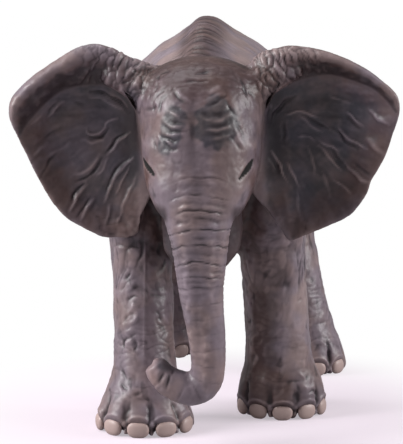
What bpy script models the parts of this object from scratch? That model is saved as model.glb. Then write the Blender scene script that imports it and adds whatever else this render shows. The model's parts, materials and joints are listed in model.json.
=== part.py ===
"""Toy elephant calf: a small painted figure, built from separately moulded pieces.

Metres, +Z up. The animal faces -Y, its left side is +X, its soles stand on Z = 0 and the
origin lies under the middle of the figure. Tables hold shares of the named sizes above
them, so each form follows its own driving sizes.
"""

import math
from dataclasses import dataclass

import bmesh
import bpy
from mathutils import Matrix, Vector

MM = 0.001

# Fits between pieces
FIT_GAP = 0.3 * MM
CUT_OVERRUN = 6.0 * MM
WELD = 0.004 * MM

# Torso
TORSO_FRONT_Y = -30.5 * MM
TORSO_X = -0.9 * MM
TORSO_LENGTH = 72.5 * MM
NECK_LENGTH = 7.6 * MM
NECK_SHARE = 0.105
TORSO_HALF_WIDTH = 20.6 * MM
TORSO_CREST_Z = 72.2 * MM
TORSO_WAIST_Z = 49.0 * MM
TORSO_BELLY_Z = 27.8 * MM
SPINE_RIDGE = 1.8 * MM
SPINE_SHARPNESS = 40
CREST_POWER = 1.11
BELLY_POWER = 0.87
TORSO_RINGS = 17
TORSO_SIDES = 24

# Hollow inside the torso and the bosses that join its halves
TORSO_WALL = 2.6 * MM
CAVITY_FRONT_SHARE = 0.27
CAVITY_REAR_SHARE = 0.925
CAVITY_RINGS = 9
CAVITY_SIDES = 16
BOSS_RADIUS = 2.7 * MM
PEG_RADIUS = 1.3 * MM
PEG_LENGTH = 4.0 * MM

# Legs
LEG_CUT_Z = 25.5 * MM
HIP_Z = 46.0 * MM
HIP_SPREAD = 12.0 * MM
SHOULDER_SETBACK = 12.7 * MM
HAUNCH_SETBACK = 15.6 * MM
STEP_LENGTH = 10.9 * MM
KNEE_BEND = 2.6 * MM
LEG_HALF_WIDTH = 8.0 * MM
STUB_RISE = 9.0 * MM
STUB_TUCK = 3.6 * MM
STUB_DOME_SHARE = 0.9
STUB_RINGS = 9
LEG_SIDES = 16
LEG_POWER = 0.95
LEG_SPIGOT_RADIUS = 3.0 * MM
LEG_SPIGOT_LENGTH = 3.6 * MM

# Toenails
NAIL_WIDTH = 4.2 * MM
NAIL_HEIGHT = 3.3 * MM
NAIL_THICKNESS = 2.4 * MM
FORE_NAIL_SPACING = math.radians(33.0)
HIND_NAIL_SPACING = math.radians(45.0)
NAIL_SEGMENTS = 8
NAIL_RINGS = 5

# Head and jaw
HEAD_DEPTH = 27.5 * MM
HEAD_OVERHANG_SHARE = 0.582
HEAD_HALF_WIDTH = 11.3 * MM
HEAD_HEIGHT = 27.9 * MM
HEAD_RINGS = 15
HEAD_SIDES = 24
HEAD_POWER = 0.9
JAW_HALF_WIDTH = 7.5 * MM
JAW_DROP = 15.0 * MM
JAW_ROOT_SHARE = 0.22
JAW_SETBACK = 10.4 * MM
JAW_DEPTH = 13.4 * MM
JAW_RINGS = 9
JAW_SIDES = 14
JAW_POWER = 1.0
NECK_Z = 54.0 * MM
NECK_RADIUS = 4.2 * MM
NECK_REACH = 3.8 * MM

# Trunk
TRUNK_SEAM_Z = 41.0 * MM
TRUNK_DROP = 33.0 * MM
TRUNK_HALF_WIDTH = 6.0 * MM
TRUNK_SETBACK = 5.2 * MM
TRUNK_RINGS = 27
TRUNK_SIDES = 14
TRUNK_SPIGOT_RADIUS = 3.0 * MM
TRUNK_SPIGOT_LENGTH = 4.5 * MM

# Ears
EAR_ROOT_SETBACK = 1.6 * MM
EAR_ROOT_X = 8.2 * MM
EAR_ROOT_SLANT = 1.2 * MM
EAR_REACH = 27.0 * MM
EAR_TOP_Z = 71.4 * MM
EAR_HEIGHT = 35.6 * MM
EAR_THICKNESS = 1.7 * MM
EAR_SWEEP = -1.4 * MM
EAR_CUP = 1.6 * MM
EAR_BRIM = 2.4 * MM
EAR_COLUMNS = 9
EAR_ROWS = 23
EAR_TAB_DEPTH = 1.7 * MM
EAR_TAB_HEIGHT = 11.0 * MM
EAR_TAB_Z = 57.5 * MM

# Tail
TAIL_ROOT_Z = 57.0 * MM
TAIL_DROP = 28.0 * MM
TAIL_RADIUS = 1.9 * MM
TAIL_OFFSET = 4.2 * MM
TAIL_RINGS = 17
TAIL_SIDES = 10
TAIL_PEG_RADIUS = 1.0 * MM
TAIL_PEG_LENGTH = 5.0 * MM
TAIL_PEG_SHARE = 0.05

ROUND_SEGMENTS = 20

# Along the torso: place, half width, crest height, belly height, each above the waist line
TORSO_SHARES = (
    (0.000, 0.22, 0.52, 0.22),
    (0.018, 0.33, 0.64, 0.48),
    (0.060, 0.42, 0.775, 0.72),
    (0.105, 0.64, 0.85, 0.82),
    (0.155, 0.80, 0.90, 0.88),
    (0.220, 0.90, 0.945, 0.92),
    (0.310, 0.94, 0.975, 0.95),
    (0.420, 0.985, 1.00, 0.985),
    (0.560, 1.00, 0.995, 1.00),
    (0.690, 1.00, 0.96, 0.98),
    (0.800, 0.965, 0.87, 0.90),
    (0.890, 0.84, 0.69, 0.70),
    (0.955, 0.62, 0.45, 0.45),
    (0.988, 0.40, 0.22, 0.25),
    (1.000, 0.24, 0.09, 0.12),
)

# Up the head: place, half width, front and back
HEAD_SHARES = (
    (0.000, 0.600, 0.003, 0.655),
    (0.070, 0.735, 0.010, 0.724),
    (0.177, 0.858, 0.028, 0.845),
    (0.283, 0.920, 0.055, 0.914),
    (0.389, 0.947, 0.086, 0.959),
    (0.530, 0.973, 0.124, 0.986),
    (0.671, 1.000, 0.166, 1.000),
    (0.777, 0.965, 0.214, 0.986),
    (0.883, 0.840, 0.303, 0.931),
    (0.954, 0.620, 0.414, 0.845),
    (1.000, 0.280, 0.552, 0.724),
)

# Down the jaw: place, half width, front and back
JAW_SHARES = (
    (0.00, 0.92, 0.02, 0.90),
    (0.22, 1.00, 0.03, 1.00),
    (0.50, 1.00, 0.04, 0.90),
    (0.70, 0.96, 0.05, 0.72),
    (0.78, 0.82, 0.06, 0.60),
    (0.86, 0.68, 0.08, 0.48),
    (0.94, 0.52, 0.10, 0.38),
    (1.00, 0.30, 0.16, 0.28),
)

# Up a leg: place, foot flare, hip swell, lean towards the hip and knee bend
LEG_SHARES = (
    (0.000, 0.88, 0.00, 0.00, 0.00),
    (0.014, 1.00, 0.00, 0.00, 0.00),
    (0.040, 0.96, 0.00, 0.01, 0.02),
    (0.070, 0.78, 0.00, 0.03, 0.06),
    (0.110, 0.55, 0.00, 0.06, 0.15),
    (0.155, 0.32, 0.00, 0.10, 0.30),
    (0.210, 0.13, 0.00, 0.16, 0.50),
    (0.275, 0.04, 0.00, 0.25, 0.75),
    (0.360, 0.00, 0.00, 0.36, 0.95),
    (0.460, 0.00, 0.03, 0.48, 1.00),
    (0.560, 0.00, 0.12, 0.60, 0.80),
    (0.680, 0.00, 0.35, 0.73, 0.45),
    (0.830, 0.00, 0.75, 0.87, 0.15),
    (1.000, 0.00, 1.00, 1.00, 0.00),
)

# Along the trunk: side and drop, in shares of its drop, then half width and half depth
TRUNK_SHARES = (
    (0.000, 0.0045, 1.000, 0.833),
    (0.005, 0.091, 0.867, 0.817),
    (0.009, 0.212, 0.767, 0.767),
    (0.013, 0.376, 0.655, 0.683),
    (0.032, 0.539, 0.572, 0.600),
    (0.051, 0.703, 0.515, 0.550),
    (0.048, 0.842, 0.480, 0.517),
    (0.022, 0.906, 0.450, 0.500),
    (-0.041, 0.932, 0.440, 0.500),
    (-0.098, 0.911, 0.470, 0.483),
    (-0.140, 0.893, 0.450, 0.458),
    (-0.172, 0.872, 0.420, 0.442),
    (-0.205, 0.838, 0.375, 0.417),
    (-0.241, 0.788, 0.335, 0.367),
)

# Round an ear from top to bottom: place on the root line, then reach, height and brim
EAR_RIGHT_SHARES = (
    (0.00, 0.130, 0.925, 0.05),
    (0.07, 0.255, 0.962, 0.15),
    (0.14, 0.390, 1.000, 0.35),
    (0.20, 0.530, 0.970, 0.70),
    (0.27, 0.720, 0.880, 1.00),
    (0.34, 0.870, 0.800, 1.00),
    (0.41, 0.970, 0.715, 0.80),
    (0.48, 0.970, 0.610, 0.50),
    (0.55, 0.900, 0.450, 0.30),
    (0.62, 0.810, 0.310, 0.20),
    (0.69, 0.700, 0.155, 0.20),
    (0.76, 0.585, 0.073, 0.20),
    (0.84, 0.430, 0.022, 0.15),
    (0.92, 0.310, 0.000, 0.10),
    (1.00, 0.165, 0.017, 0.00),
)
EAR_LEFT_SHARES = (
    (0.00, 0.050, 0.952, 0.05),
    (0.07, 0.160, 0.975, 0.15),
    (0.14, 0.270, 0.986, 0.35),
    (0.20, 0.460, 0.970, 0.70),
    (0.27, 0.715, 0.900, 1.00),
    (0.34, 0.900, 0.815, 1.00),
    (0.41, 1.000, 0.715, 0.80),
    (0.48, 0.980, 0.600, 0.50),
    (0.55, 0.930, 0.435, 0.30),
    (0.62, 0.835, 0.290, 0.20),
    (0.69, 0.720, 0.170, 0.20),
    (0.76, 0.550, 0.062, 0.20),
    (0.84, 0.400, 0.025, 0.15),
    (0.92, 0.280, 0.001, 0.10),
    (1.00, 0.175, 0.050, 0.00),
)
EAR_ROOT_TOP_SHARE = 0.875
EAR_ROOT_BOTTOM_SHARE = 0.25

# Along the tail: drop, stand-off from the rump and radius
TAIL_SHARES = (
    (0.00, -0.75, 1.00),
    (0.05, -0.20, 0.95),
    (0.12, 0.30, 0.82),
    (0.22, 0.62, 0.70),
    (0.36, 0.80, 0.60),
    (0.56, 0.80, 0.53),
    (0.72, 0.72, 0.58),
    (0.82, 0.66, 0.84),
    (0.92, 0.60, 0.74),
    (1.00, 0.56, 0.25),
)

# Bosses inside the torso: place along it, and height as a share from belly to crest
BOSS_SHARES = (
    (0.36, 0.80),
    (0.36, 0.22),
    (0.76, 0.76),
    (0.62, 0.20),
)

SKIN_GREY = (0.160, 0.122, 0.133)
EAR_GREY = (0.084, 0.070, 0.084)
TRUNK_GREY = (0.190, 0.148, 0.158)
FOOT_GREY = (0.150, 0.114, 0.125)
SKIN_ROUGHNESS = 0.5


@dataclass(frozen=True)
class Leg:
    """One leg, in shares: its foot's side step of the hip spread, its stride of the step
    length, its knee of the knee bend, and width and depth at foot, shank and hip of the
    leg's half width."""

    name: str
    side: float
    hip_y: float
    foot_share: float
    stride_share: float
    knee_share: float
    foot_shares: tuple
    shank_shares: tuple
    hip_shares: tuple
    nails: int
    nail_turn: float
    nail_spacing: float


SHOULDER_Y = TORSO_FRONT_Y + SHOULDER_SETBACK
HAUNCH_Y = TORSO_FRONT_Y + TORSO_LENGTH - HAUNCH_SETBACK
LEGS = (
    Leg("foreleg_right", -1.0, SHOULDER_Y, -0.883, -1.00, -0.15,
        (1.150, 1.025), (0.688, 0.762), (0.875, 1.10), 5, math.radians(-4.0), FORE_NAIL_SPACING),
    Leg("foreleg_left", 1.0, SHOULDER_Y, 1.208, 0.21, -0.35,
        (1.075, 0.988), (0.750, 0.775), (0.875, 1.10), 5, math.radians(3.0), FORE_NAIL_SPACING),
    Leg("hindleg_right", -1.0, HAUNCH_Y, -0.967, 0.51, -1.00,
        (0.938, 0.925), (0.662, 0.750), (0.975, 1.50), 3, math.radians(-8.0), HIND_NAIL_SPACING),
    Leg("hindleg_left", 1.0, HAUNCH_Y, 1.692, -0.72, -0.46,
        (0.912, 0.912), (0.675, 0.750), (0.975, 1.50), 3, math.radians(9.5), HIND_NAIL_SPACING),
)


def clear_scene():
    """Remove the objects that the scene starts with."""
    for old in list(bpy.data.objects):
        bpy.data.objects.remove(old, do_unlink=True)


def new_collection(name):
    """Link a new collection to the scene and return it."""
    collection = bpy.data.collections.new(name)
    bpy.context.scene.collection.children.link(collection)
    return collection


def plastic(name, colour, roughness=SKIN_ROUGHNESS):
    """Painted PVC of one colour."""
    material = bpy.data.materials.new(name)
    material.use_nodes = True
    shader = material.node_tree.nodes["Principled BSDF"]
    shader.inputs["Base Color"].default_value = (*colour, 1.0)
    shader.inputs["Roughness"].default_value = roughness
    shader.inputs["Metallic"].default_value = 0.0
    return material


def smooth_row(rows, place):
    """Read a table at a place in its first column, along a smooth curve through its rows."""
    place = min(max(place, rows[0][0]), rows[-1][0])
    last = len(rows) - 2
    low = min(last, max(i for i in range(len(rows) - 1) if rows[i][0] <= place))
    start, end = rows[low], rows[low + 1]
    span = end[0] - start[0]
    before = rows[max(low - 1, 0)]
    after = rows[min(low + 2, len(rows) - 1)]
    t = (place - start[0]) / span
    values = []
    for a, b, c, d in zip(before[1:], start[1:], end[1:], after[1:]):
        slope_in = (c - a) / (end[0] - before[0]) * span
        slope_out = (d - b) / (after[0] - start[0]) * span
        values.append(b * (2 * t**3 - 3 * t**2 + 1) + slope_in * (t**3 - 2 * t**2 + t)
                      + c * (3 * t**2 - 2 * t**3) + slope_out * (t**3 - t**2))
    return values


def eased(count):
    """Places from 0 to 1, closer together towards both ends."""
    return [0.5 - 0.5 * math.cos(math.pi * i / (count - 1)) for i in range(count)]


def even(count):
    """Evenly spaced places from 0 to 1."""
    return [i / (count - 1) for i in range(count)]


def signed_power(value, power):
    """Power of a value that keeps the value's sign."""
    return math.copysign(abs(value) ** power, value)


def object_from(bm, name, material, collection):
    """Make a smooth-shaded object from a closed bmesh, with its faces turned outward."""
    bmesh.ops.recalc_face_normals(bm, faces=bm.faces)
    mesh = bpy.data.meshes.new(name)
    bm.to_mesh(mesh)
    bm.free()
    mesh.materials.append(material)
    for polygon in mesh.polygons:
        polygon.use_smooth = True
    obj = bpy.data.objects.new(name, mesh)
    collection.objects.link(obj)
    return obj


def loft(name, rings, material, collection):
    """Closed solid through a row of unlike closed rings, with a flat face at each end."""
    bm = bmesh.new()
    loops = [[bm.verts.new(point) for point in ring] for ring in rings]
    for one, two in zip(loops, loops[1:]):
        for i in range(len(one)):
            j = (i + 1) % len(one)
            bm.faces.new((one[i], one[j], two[j], two[i]))
    bm.faces.new(loops[0])
    bm.faces.new(loops[-1])
    return object_from(bm, name, material, collection)


def cylinder(name, radius, start, end, material, collection):
    """Round bar between two points."""
    bm = bmesh.new()
    axis = end - start
    turn = axis.to_track_quat("Z", "Y").to_matrix().to_4x4()
    place = Matrix.Translation((start + end) / 2) @ turn
    bmesh.ops.create_cone(bm, cap_ends=True, segments=ROUND_SEGMENTS, radius1=radius,
                          radius2=radius, depth=axis.length, matrix=place)
    return object_from(bm, name, material, collection)


def block(name, low, high, material, collection):
    """Box between two corners."""
    bm = bmesh.new()
    size = Matrix.Diagonal((*(high - low), 1.0))
    bmesh.ops.create_cube(bm, size=1.0, matrix=Matrix.Translation((low + high) / 2) @ size)
    return object_from(bm, name, material, collection)


def bake(obj):
    """Replace an object's mesh by the result of its modifiers, without needle-thin faces."""
    evaluated = obj.evaluated_get(bpy.context.evaluated_depsgraph_get())
    mesh = bpy.data.meshes.new_from_object(evaluated)
    mesh.name = obj.name
    obj.modifiers.clear()
    obj.data = mesh
    bm = bmesh.new()
    bm.from_mesh(mesh)
    bmesh.ops.remove_doubles(bm, verts=bm.verts, dist=WELD)
    bmesh.ops.dissolve_degenerate(bm, dist=WELD, edges=bm.edges)
    bm.to_mesh(mesh)
    bm.free()


def combine(obj, tools, operation):
    """Join, cut or intersect an object with others and keep the result as its mesh."""
    for tool in tools:
        modifier = obj.modifiers.new(f"{operation.lower()}_{tool.name}", "BOOLEAN")
        modifier.operation = operation
        modifier.object = tool
        modifier.solver = "EXACT"
        tool.display_type = "WIRE"
        tool.hide_render = True
    bake(obj)


def torso_y(place):
    """Y of a place along the torso, whose neck keeps its own length."""
    if place < NECK_SHARE:
        return TORSO_FRONT_Y + NECK_LENGTH * place / NECK_SHARE
    behind_neck = (place - NECK_SHARE) / (1.0 - NECK_SHARE)
    return TORSO_FRONT_Y + NECK_LENGTH + behind_neck * (TORSO_LENGTH - NECK_LENGTH)


def torso_rings(grow, sides, places):
    """Rings along the torso, moved outward by grow, or inward where it is negative."""
    rings = []
    for place in places:
        width, crest, belly = smooth_row(TORSO_SHARES, place)
        half_width = width * TORSO_HALF_WIDTH + grow
        rise = crest * (TORSO_CREST_Z - TORSO_WAIST_Z) + grow
        fall = belly * (TORSO_WAIST_Z - TORSO_BELLY_Z) + grow
        ridge = SPINE_RIDGE * min(crest, 1.0) ** 3 if grow >= 0.0 else 0.0
        y = torso_y(place)
        ring = []
        for i in range(sides):
            angle = math.tau * i / sides
            across, up = math.sin(angle), math.cos(angle)
            power = CREST_POWER if up > 0 else BELLY_POWER
            x = TORSO_X + half_width * signed_power(across, power)
            z = (rise if up > 0 else fall) * signed_power(up, power)
            z += ridge * max(up, 0.0) ** SPINE_SHARPNESS
            ring.append(Vector((x, y, TORSO_WAIST_Z + z)))
        rings.append(ring)
    return rings


def level_ring(x, y_front, y_back, z, half_width, sides, power):
    """Level oval ring between a front and a back."""
    middle, half_depth = (y_front + y_back) / 2, (y_back - y_front) / 2
    return [Vector((x + half_width * signed_power(math.sin(math.tau * i / sides), power),
                    middle - half_depth * signed_power(math.cos(math.tau * i / sides), power), z))
            for i in range(sides)]


def head_front():
    """Y of the foremost point of the head."""
    return TORSO_FRONT_Y - HEAD_OVERHANG_SHARE * HEAD_DEPTH


def head_rings(grow):
    """Rings up the head from the trunk seam to the crown."""
    rings = []
    for place in eased(HEAD_RINGS):
        width, front, back = smooth_row(HEAD_SHARES, place)
        low = TRUNK_SEAM_Z + FIT_GAP / 2
        z = low + place * (TRUNK_SEAM_Z + HEAD_HEIGHT - low) + grow * (2 * place - 1)
        rings.append(level_ring(0.0, head_front() + front * HEAD_DEPTH - grow,
                                head_front() + back * HEAD_DEPTH + grow, z,
                                width * HEAD_HALF_WIDTH + grow, HEAD_SIDES, HEAD_POWER))
    return rings


def jaw_rings(grow):
    """Rings down the jaw, from inside the head to the tip of the lower lip."""
    top = TRUNK_SEAM_Z + JAW_DROP * JAW_ROOT_SHARE
    front_y = head_front() + JAW_SETBACK
    rings = []
    for place in eased(JAW_RINGS):
        width, front, back = smooth_row(JAW_SHARES, place)
        rings.append(level_ring(0.0, front_y + front * JAW_DEPTH - grow,
                                front_y + back * JAW_DEPTH + grow,
                                top - place * JAW_DROP - grow * (2 * place - 1),
                                width * JAW_HALF_WIDTH + grow, JAW_SIDES, JAW_POWER))
    return rings


def leg_centre(leg, lean, knee):
    """Middle of a leg at a share of its lean and knee bend."""
    x = HIP_SPREAD * (leg.foot_share + lean * (leg.side - leg.foot_share))
    y = leg.hip_y + STEP_LENGTH * leg.stride_share * (1.0 - lean)
    return x, y + KNEE_BEND * leg.knee_share * knee


def leg_ring(leg, z):
    """Ring round a leg at one height."""
    flare, swell, lean, knee = smooth_row(LEG_SHARES, z / HIP_Z)
    x, y = leg_centre(leg, lean, knee)
    half_width, half_depth = (LEG_HALF_WIDTH * (shank + flare * (foot - shank) + swell * (hip - shank))
                              for foot, shank, hip
                              in zip(leg.foot_shares, leg.shank_shares, leg.hip_shares))
    return level_ring(x, y - half_depth, y + half_depth, z, half_width, LEG_SIDES, LEG_POWER)


def leg_spigot_ends(leg, extra):
    """Lower and upper end of the spigot that joins a leg to the torso."""
    lean, knee = smooth_row(LEG_SHARES, LEG_CUT_Z / HIP_Z)[2:]
    x, y = leg_centre(leg, lean, knee)
    low = Vector((x, y, LEG_CUT_Z - LEG_SPIGOT_LENGTH))
    high = Vector((x, y, LEG_CUT_Z + LEG_SPIGOT_LENGTH + extra))
    return low, high


def build_leg(leg, material, parts, cutters):
    """Leg with a flat sole, toenails and a spigot for the torso."""
    top = LEG_CUT_Z - FIT_GAP / 2
    places = [share[0] for share in LEG_SHARES if share[0] * HIP_Z < top - FIT_GAP]
    heights = [place * HIP_Z for place in places] + [top]
    obj = loft(leg.name, [leg_ring(leg, z) for z in heights], material, parts)
    tools = [cylinder(f"{leg.name}_spigot", LEG_SPIGOT_RADIUS, *leg_spigot_ends(leg, 0.0),
                      material, cutters)]
    tools += [toenail(leg, number, material, cutters) for number in range(leg.nails)]
    combine(obj, tools, "UNION")
    return obj


def toenail(leg, number, material, collection):
    """Rounded toenail on the front edge of a foot."""
    angle = leg.nail_turn + (number - (leg.nails - 1) / 2) * leg.nail_spacing
    x, y = leg_centre(leg, 0.0, 0.0)
    half_width, half_depth = (LEG_HALF_WIDTH * share for share in leg.foot_shares)
    inset = NAIL_THICKNESS / 4
    bm = bmesh.new()
    bmesh.ops.create_uvsphere(bm, u_segments=NAIL_SEGMENTS, v_segments=NAIL_RINGS, radius=1.0)
    size = Matrix.Diagonal((NAIL_WIDTH / 2, NAIL_THICKNESS / 2, NAIL_HEIGHT / 2, 1.0))
    place = Vector((x + (half_width - inset) * math.sin(angle),
                    y - (half_depth - inset) * math.cos(angle), NAIL_HEIGHT / 2 + FIT_GAP / 4))
    bm.transform(Matrix.Translation(place) @ Matrix.Rotation(angle, 4, "Z") @ size)
    return object_from(bm, f"{leg.name}_nail_{number + 1}", material, collection)


def leg_stub(leg, material, cutters):
    """Shoulder or haunch: the top of a leg, which belongs to the torso and ends in a dome."""
    low, high = LEG_CUT_Z + FIT_GAP / 2, HIP_Z + STUB_RISE
    rings = []
    for place in even(STUB_RINGS):
        z = low + place * (high - low)
        over = max(z - HIP_Z, 0.0) / STUB_RISE
        centre = Vector((*leg_centre(leg, 1.0, 0.0), z))
        size = math.sqrt(1.0 - STUB_DOME_SHARE * over**2)
        tuck = Vector((-leg.side * STUB_TUCK * over**2, 0.0, 0.0))
        ring = leg_ring(leg, min(z, HIP_Z))
        if over > 0.0:
            ring = [centre + tuck + (Vector((point.x, point.y, z)) - centre) * size for point in ring]
        rings.append(ring)
    return loft(f"{leg.name}_stub", rings, material, cutters)


def boss_line(place, height):
    """Y and Z of a boss inside the torso."""
    y = torso_y(place)
    z = TORSO_BELLY_Z + height * (TORSO_CREST_Z - TORSO_BELLY_Z)
    return y, z


def neck_ends(extra):
    """Front and rear end of the spigot between head and torso."""
    head_back = head_front() + HEAD_DEPTH
    front = Vector((0.0, head_back - HEAD_DEPTH / 4, NECK_Z))
    return front, Vector((0.0, head_back + NECK_REACH + extra, NECK_Z))


def tail_peg_ends(extra):
    """Front and rear end of the peg that holds the tail."""
    offset = smooth_row(TAIL_SHARES, TAIL_PEG_SHARE)[0]
    rear = Vector((TORSO_X, TORSO_FRONT_Y + TORSO_LENGTH + offset * TAIL_OFFSET,
                   TAIL_ROOT_Z - TAIL_PEG_SHARE * TAIL_DROP))
    return rear - Vector((0.0, TAIL_PEG_LENGTH + extra, 0.0)), rear


def build_torso(material, parts, cutters):
    """Two half shells with shoulders, haunches, bosses, pegs and sockets."""
    body = loft("torso_body", torso_rings(0.0, TORSO_SIDES, eased(TORSO_RINGS)), material, cutters)
    combine(body, [leg_stub(leg, material, cutters) for leg in LEGS], "UNION")
    span = CAVITY_REAR_SHARE - CAVITY_FRONT_SHARE
    places = [CAVITY_FRONT_SHARE + share * span for share in eased(CAVITY_RINGS)]
    cavity = loft("torso_cavity", torso_rings(-TORSO_WALL, CAVITY_SIDES, places), material, cutters)
    head_room = loft("head_room", head_rings(FIT_GAP), material, cutters)
    combine(head_room, [loft("jaw_room", jaw_rings(FIT_GAP), material, cutters)], "UNION")
    combine(body, [head_room, cavity], "DIFFERENCE")

    boss_limit = loft("boss_limit", torso_rings(-TORSO_WALL / 2, TORSO_SIDES, eased(TORSO_RINGS)),
                      material, cutters)
    bosses, pegs, peg_holes = [], [], []
    for number, (place, height) in enumerate(BOSS_SHARES, 1):
        y, z = boss_line(place, height)
        ends = (Vector((TORSO_X - TORSO_HALF_WIDTH, y, z)),
                Vector((TORSO_X + TORSO_HALF_WIDTH, y, z)))
        bosses.append(cylinder(f"boss_{number}", BOSS_RADIUS, *ends, material, cutters))
        combine(bosses[-1], [boss_limit], "INTERSECT")
        start, end = Vector((TORSO_X + PEG_LENGTH, y, z)), Vector((TORSO_X - PEG_LENGTH, y, z))
        pegs.append(cylinder(f"peg_{number}", PEG_RADIUS, start, end, material, cutters))
        end.x -= FIT_GAP
        peg_holes.append(cylinder(f"peg_hole_{number}", PEG_RADIUS + FIT_GAP, start, end,
                                  material, cutters))
    combine(body, bosses, "UNION")

    sockets = [cylinder("neck_socket", NECK_RADIUS + FIT_GAP, *neck_ends(FIT_GAP), material, cutters),
               cylinder("tail_socket", TAIL_PEG_RADIUS + FIT_GAP, *tail_peg_ends(FIT_GAP),
                        material, cutters)]
    sockets += [cylinder(f"{leg.name}_socket", LEG_SPIGOT_RADIUS + FIT_GAP,
                         *leg_spigot_ends(leg, FIT_GAP), material, cutters) for leg in LEGS]
    combine(body, sockets, "DIFFERENCE")

    reach_y = TORSO_LENGTH / 2 + CUT_OVERRUN
    middle_y = TORSO_FRONT_Y + TORSO_LENGTH / 2
    wide = TORSO_HALF_WIDTH + CUT_OVERRUN
    top = TORSO_CREST_Z + CUT_OVERRUN
    shells = []
    for name, near, far in (("torso_left_shell", TORSO_X - wide, TORSO_X + FIT_GAP / 2),
                            ("torso_right_shell", TORSO_X - FIT_GAP / 2, TORSO_X + wide)):
        other_side = block(f"{name}_cut", Vector((near, middle_y - reach_y, 0.0)),
                           Vector((far, middle_y + reach_y, top)), material, cutters)
        shell = bpy.data.objects.new(name, body.data.copy())
        parts.objects.link(shell)
        combine(shell, [other_side], "DIFFERENCE")
        shells.append(shell)
    combine(shells[0], pegs, "UNION")
    combine(shells[1], peg_holes, "DIFFERENCE")
    body.display_type = "WIRE"
    body.hide_render = True
    return shells


def trunk_spigot_ends(extra):
    """Lower and upper end of the spigot that holds the trunk."""
    y = head_front() + TRUNK_SETBACK
    low = Vector((0.0, y, TRUNK_SEAM_Z - TRUNK_SPIGOT_LENGTH))
    return low, Vector((0.0, y, TRUNK_SEAM_Z + TRUNK_SPIGOT_LENGTH + extra))


def ear_tab(side, grow, material, cutters, name):
    """Flat tab that plugs an ear into the side of the head."""
    y = TORSO_FRONT_Y + EAR_ROOT_SETBACK
    half = EAR_THICKNESS / 2 + grow
    inner = EAR_ROOT_X - EAR_TAB_DEPTH - grow
    outer = HEAD_HALF_WIDTH + EAR_THICKNESS
    low = Vector((min(side * inner, side * outer), y - half, EAR_TAB_Z - EAR_TAB_HEIGHT / 2 - grow))
    high = Vector((max(side * inner, side * outer), y + half, EAR_TAB_Z + EAR_TAB_HEIGHT / 2 + grow))
    return block(name, low, high, material, cutters)


def build_head(material, parts, cutters):
    """Head with jaw, neck spigot, trunk socket and ear slots."""
    head = loft("head", head_rings(0.0), material, parts)
    jaw = loft("jaw", jaw_rings(0.0), material, cutters)
    neck = cylinder("neck_spigot", NECK_RADIUS, *neck_ends(0.0), material, cutters)
    combine(head, [jaw, neck], "UNION")
    socket = cylinder("trunk_socket", TRUNK_SPIGOT_RADIUS + FIT_GAP, *trunk_spigot_ends(FIT_GAP),
                      material, cutters)
    slots = [ear_tab(side, FIT_GAP, material, cutters, name)
             for side, name in ((1.0, "ear_left_slot"), (-1.0, "ear_right_slot"))]
    combine(head, [socket, *slots], "DIFFERENCE")
    return head


def build_trunk(material, parts, cutters):
    """Trunk that hangs from the face and curls to the animal's right."""
    count = len(TRUNK_SHARES) - 1
    rows = [(number / count, *row) for number, row in enumerate(TRUNK_SHARES)]
    y = head_front() + TRUNK_SETBACK
    step = 1.0 / (8 * count)
    rings = []
    for place in even(TRUNK_RINGS):
        side, drop, width, depth = smooth_row(rows, place)
        ahead, behind = smooth_row(rows, place + step), smooth_row(rows, place - step)
        along = Vector((ahead[0] - behind[0], 0.0, behind[1] - ahead[1])).normalized()
        if place == 0.0:
            along = Vector((0.0, 0.0, -1.0))
        across = Vector((-along.z, 0.0, along.x))
        centre = Vector((side * TRUNK_DROP, y, TRUNK_SEAM_Z - drop * TRUNK_DROP))
        ring = []
        for i in range(TRUNK_SIDES):
            angle = math.tau * i / TRUNK_SIDES
            ring.append(centre + across * width * TRUNK_HALF_WIDTH * math.sin(angle)
                        + Vector((0.0, -depth * TRUNK_HALF_WIDTH * math.cos(angle), 0.0)))
        rings.append(ring)
    trunk = loft("trunk", rings, material, parts)
    spigot = cylinder("trunk_spigot", TRUNK_SPIGOT_RADIUS, *trunk_spigot_ends(0.0), material, cutters)
    combine(trunk, [spigot], "UNION")
    return trunk


def build_ear(name, side, shares, material, parts, cutters):
    """Cupped ear blade with a tab, trimmed to stand off the head by the fit gap."""
    count = len(shares) - 1
    rows = [(number / count, *row) for number, row in enumerate(shares)]
    root_y = TORSO_FRONT_Y + EAR_ROOT_SETBACK
    bottom = EAR_TOP_Z - EAR_HEIGHT
    bm = bmesh.new()
    grid = []
    for place in even(EAR_ROWS):
        root, reach, height, brim = smooth_row(rows, place)
        root_share = EAR_ROOT_TOP_SHARE + root * (EAR_ROOT_BOTTOM_SHARE - EAR_ROOT_TOP_SHARE)
        root_z = bottom + root_share * EAR_HEIGHT
        line = []
        for out in even(EAR_COLUMNS):
            x = EAR_ROOT_X + out * reach * EAR_REACH + (1 - out) * root * EAR_ROOT_SLANT
            z = root_z + out * (bottom + height * EAR_HEIGHT - root_z)
            spread = out * reach
            y = root_y + EAR_SWEEP * spread + EAR_CUP * math.sin(math.pi * min(spread, 1.0))
            y -= EAR_BRIM * brim * out**3
            line.append(bm.verts.new((side * x, y, z)))
        grid.append(line)
    for one, two in zip(grid, grid[1:]):
        for i in range(EAR_COLUMNS - 1):
            bm.faces.new((one[i], one[i + 1], two[i + 1], two[i]))
    ear = object_from(bm, name, material, parts)
    shell = ear.modifiers.new("thickness", "SOLIDIFY")
    shell.thickness = EAR_THICKNESS
    shell.offset = 0.0
    bake(ear)
    room = loft(f"{name}_head_room", head_rings(FIT_GAP), material, cutters)
    combine(ear, [room], "DIFFERENCE")
    combine(ear, [ear_tab(side, 0.0, material, cutters, f"{name}_tab")], "UNION")
    return ear


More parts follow.
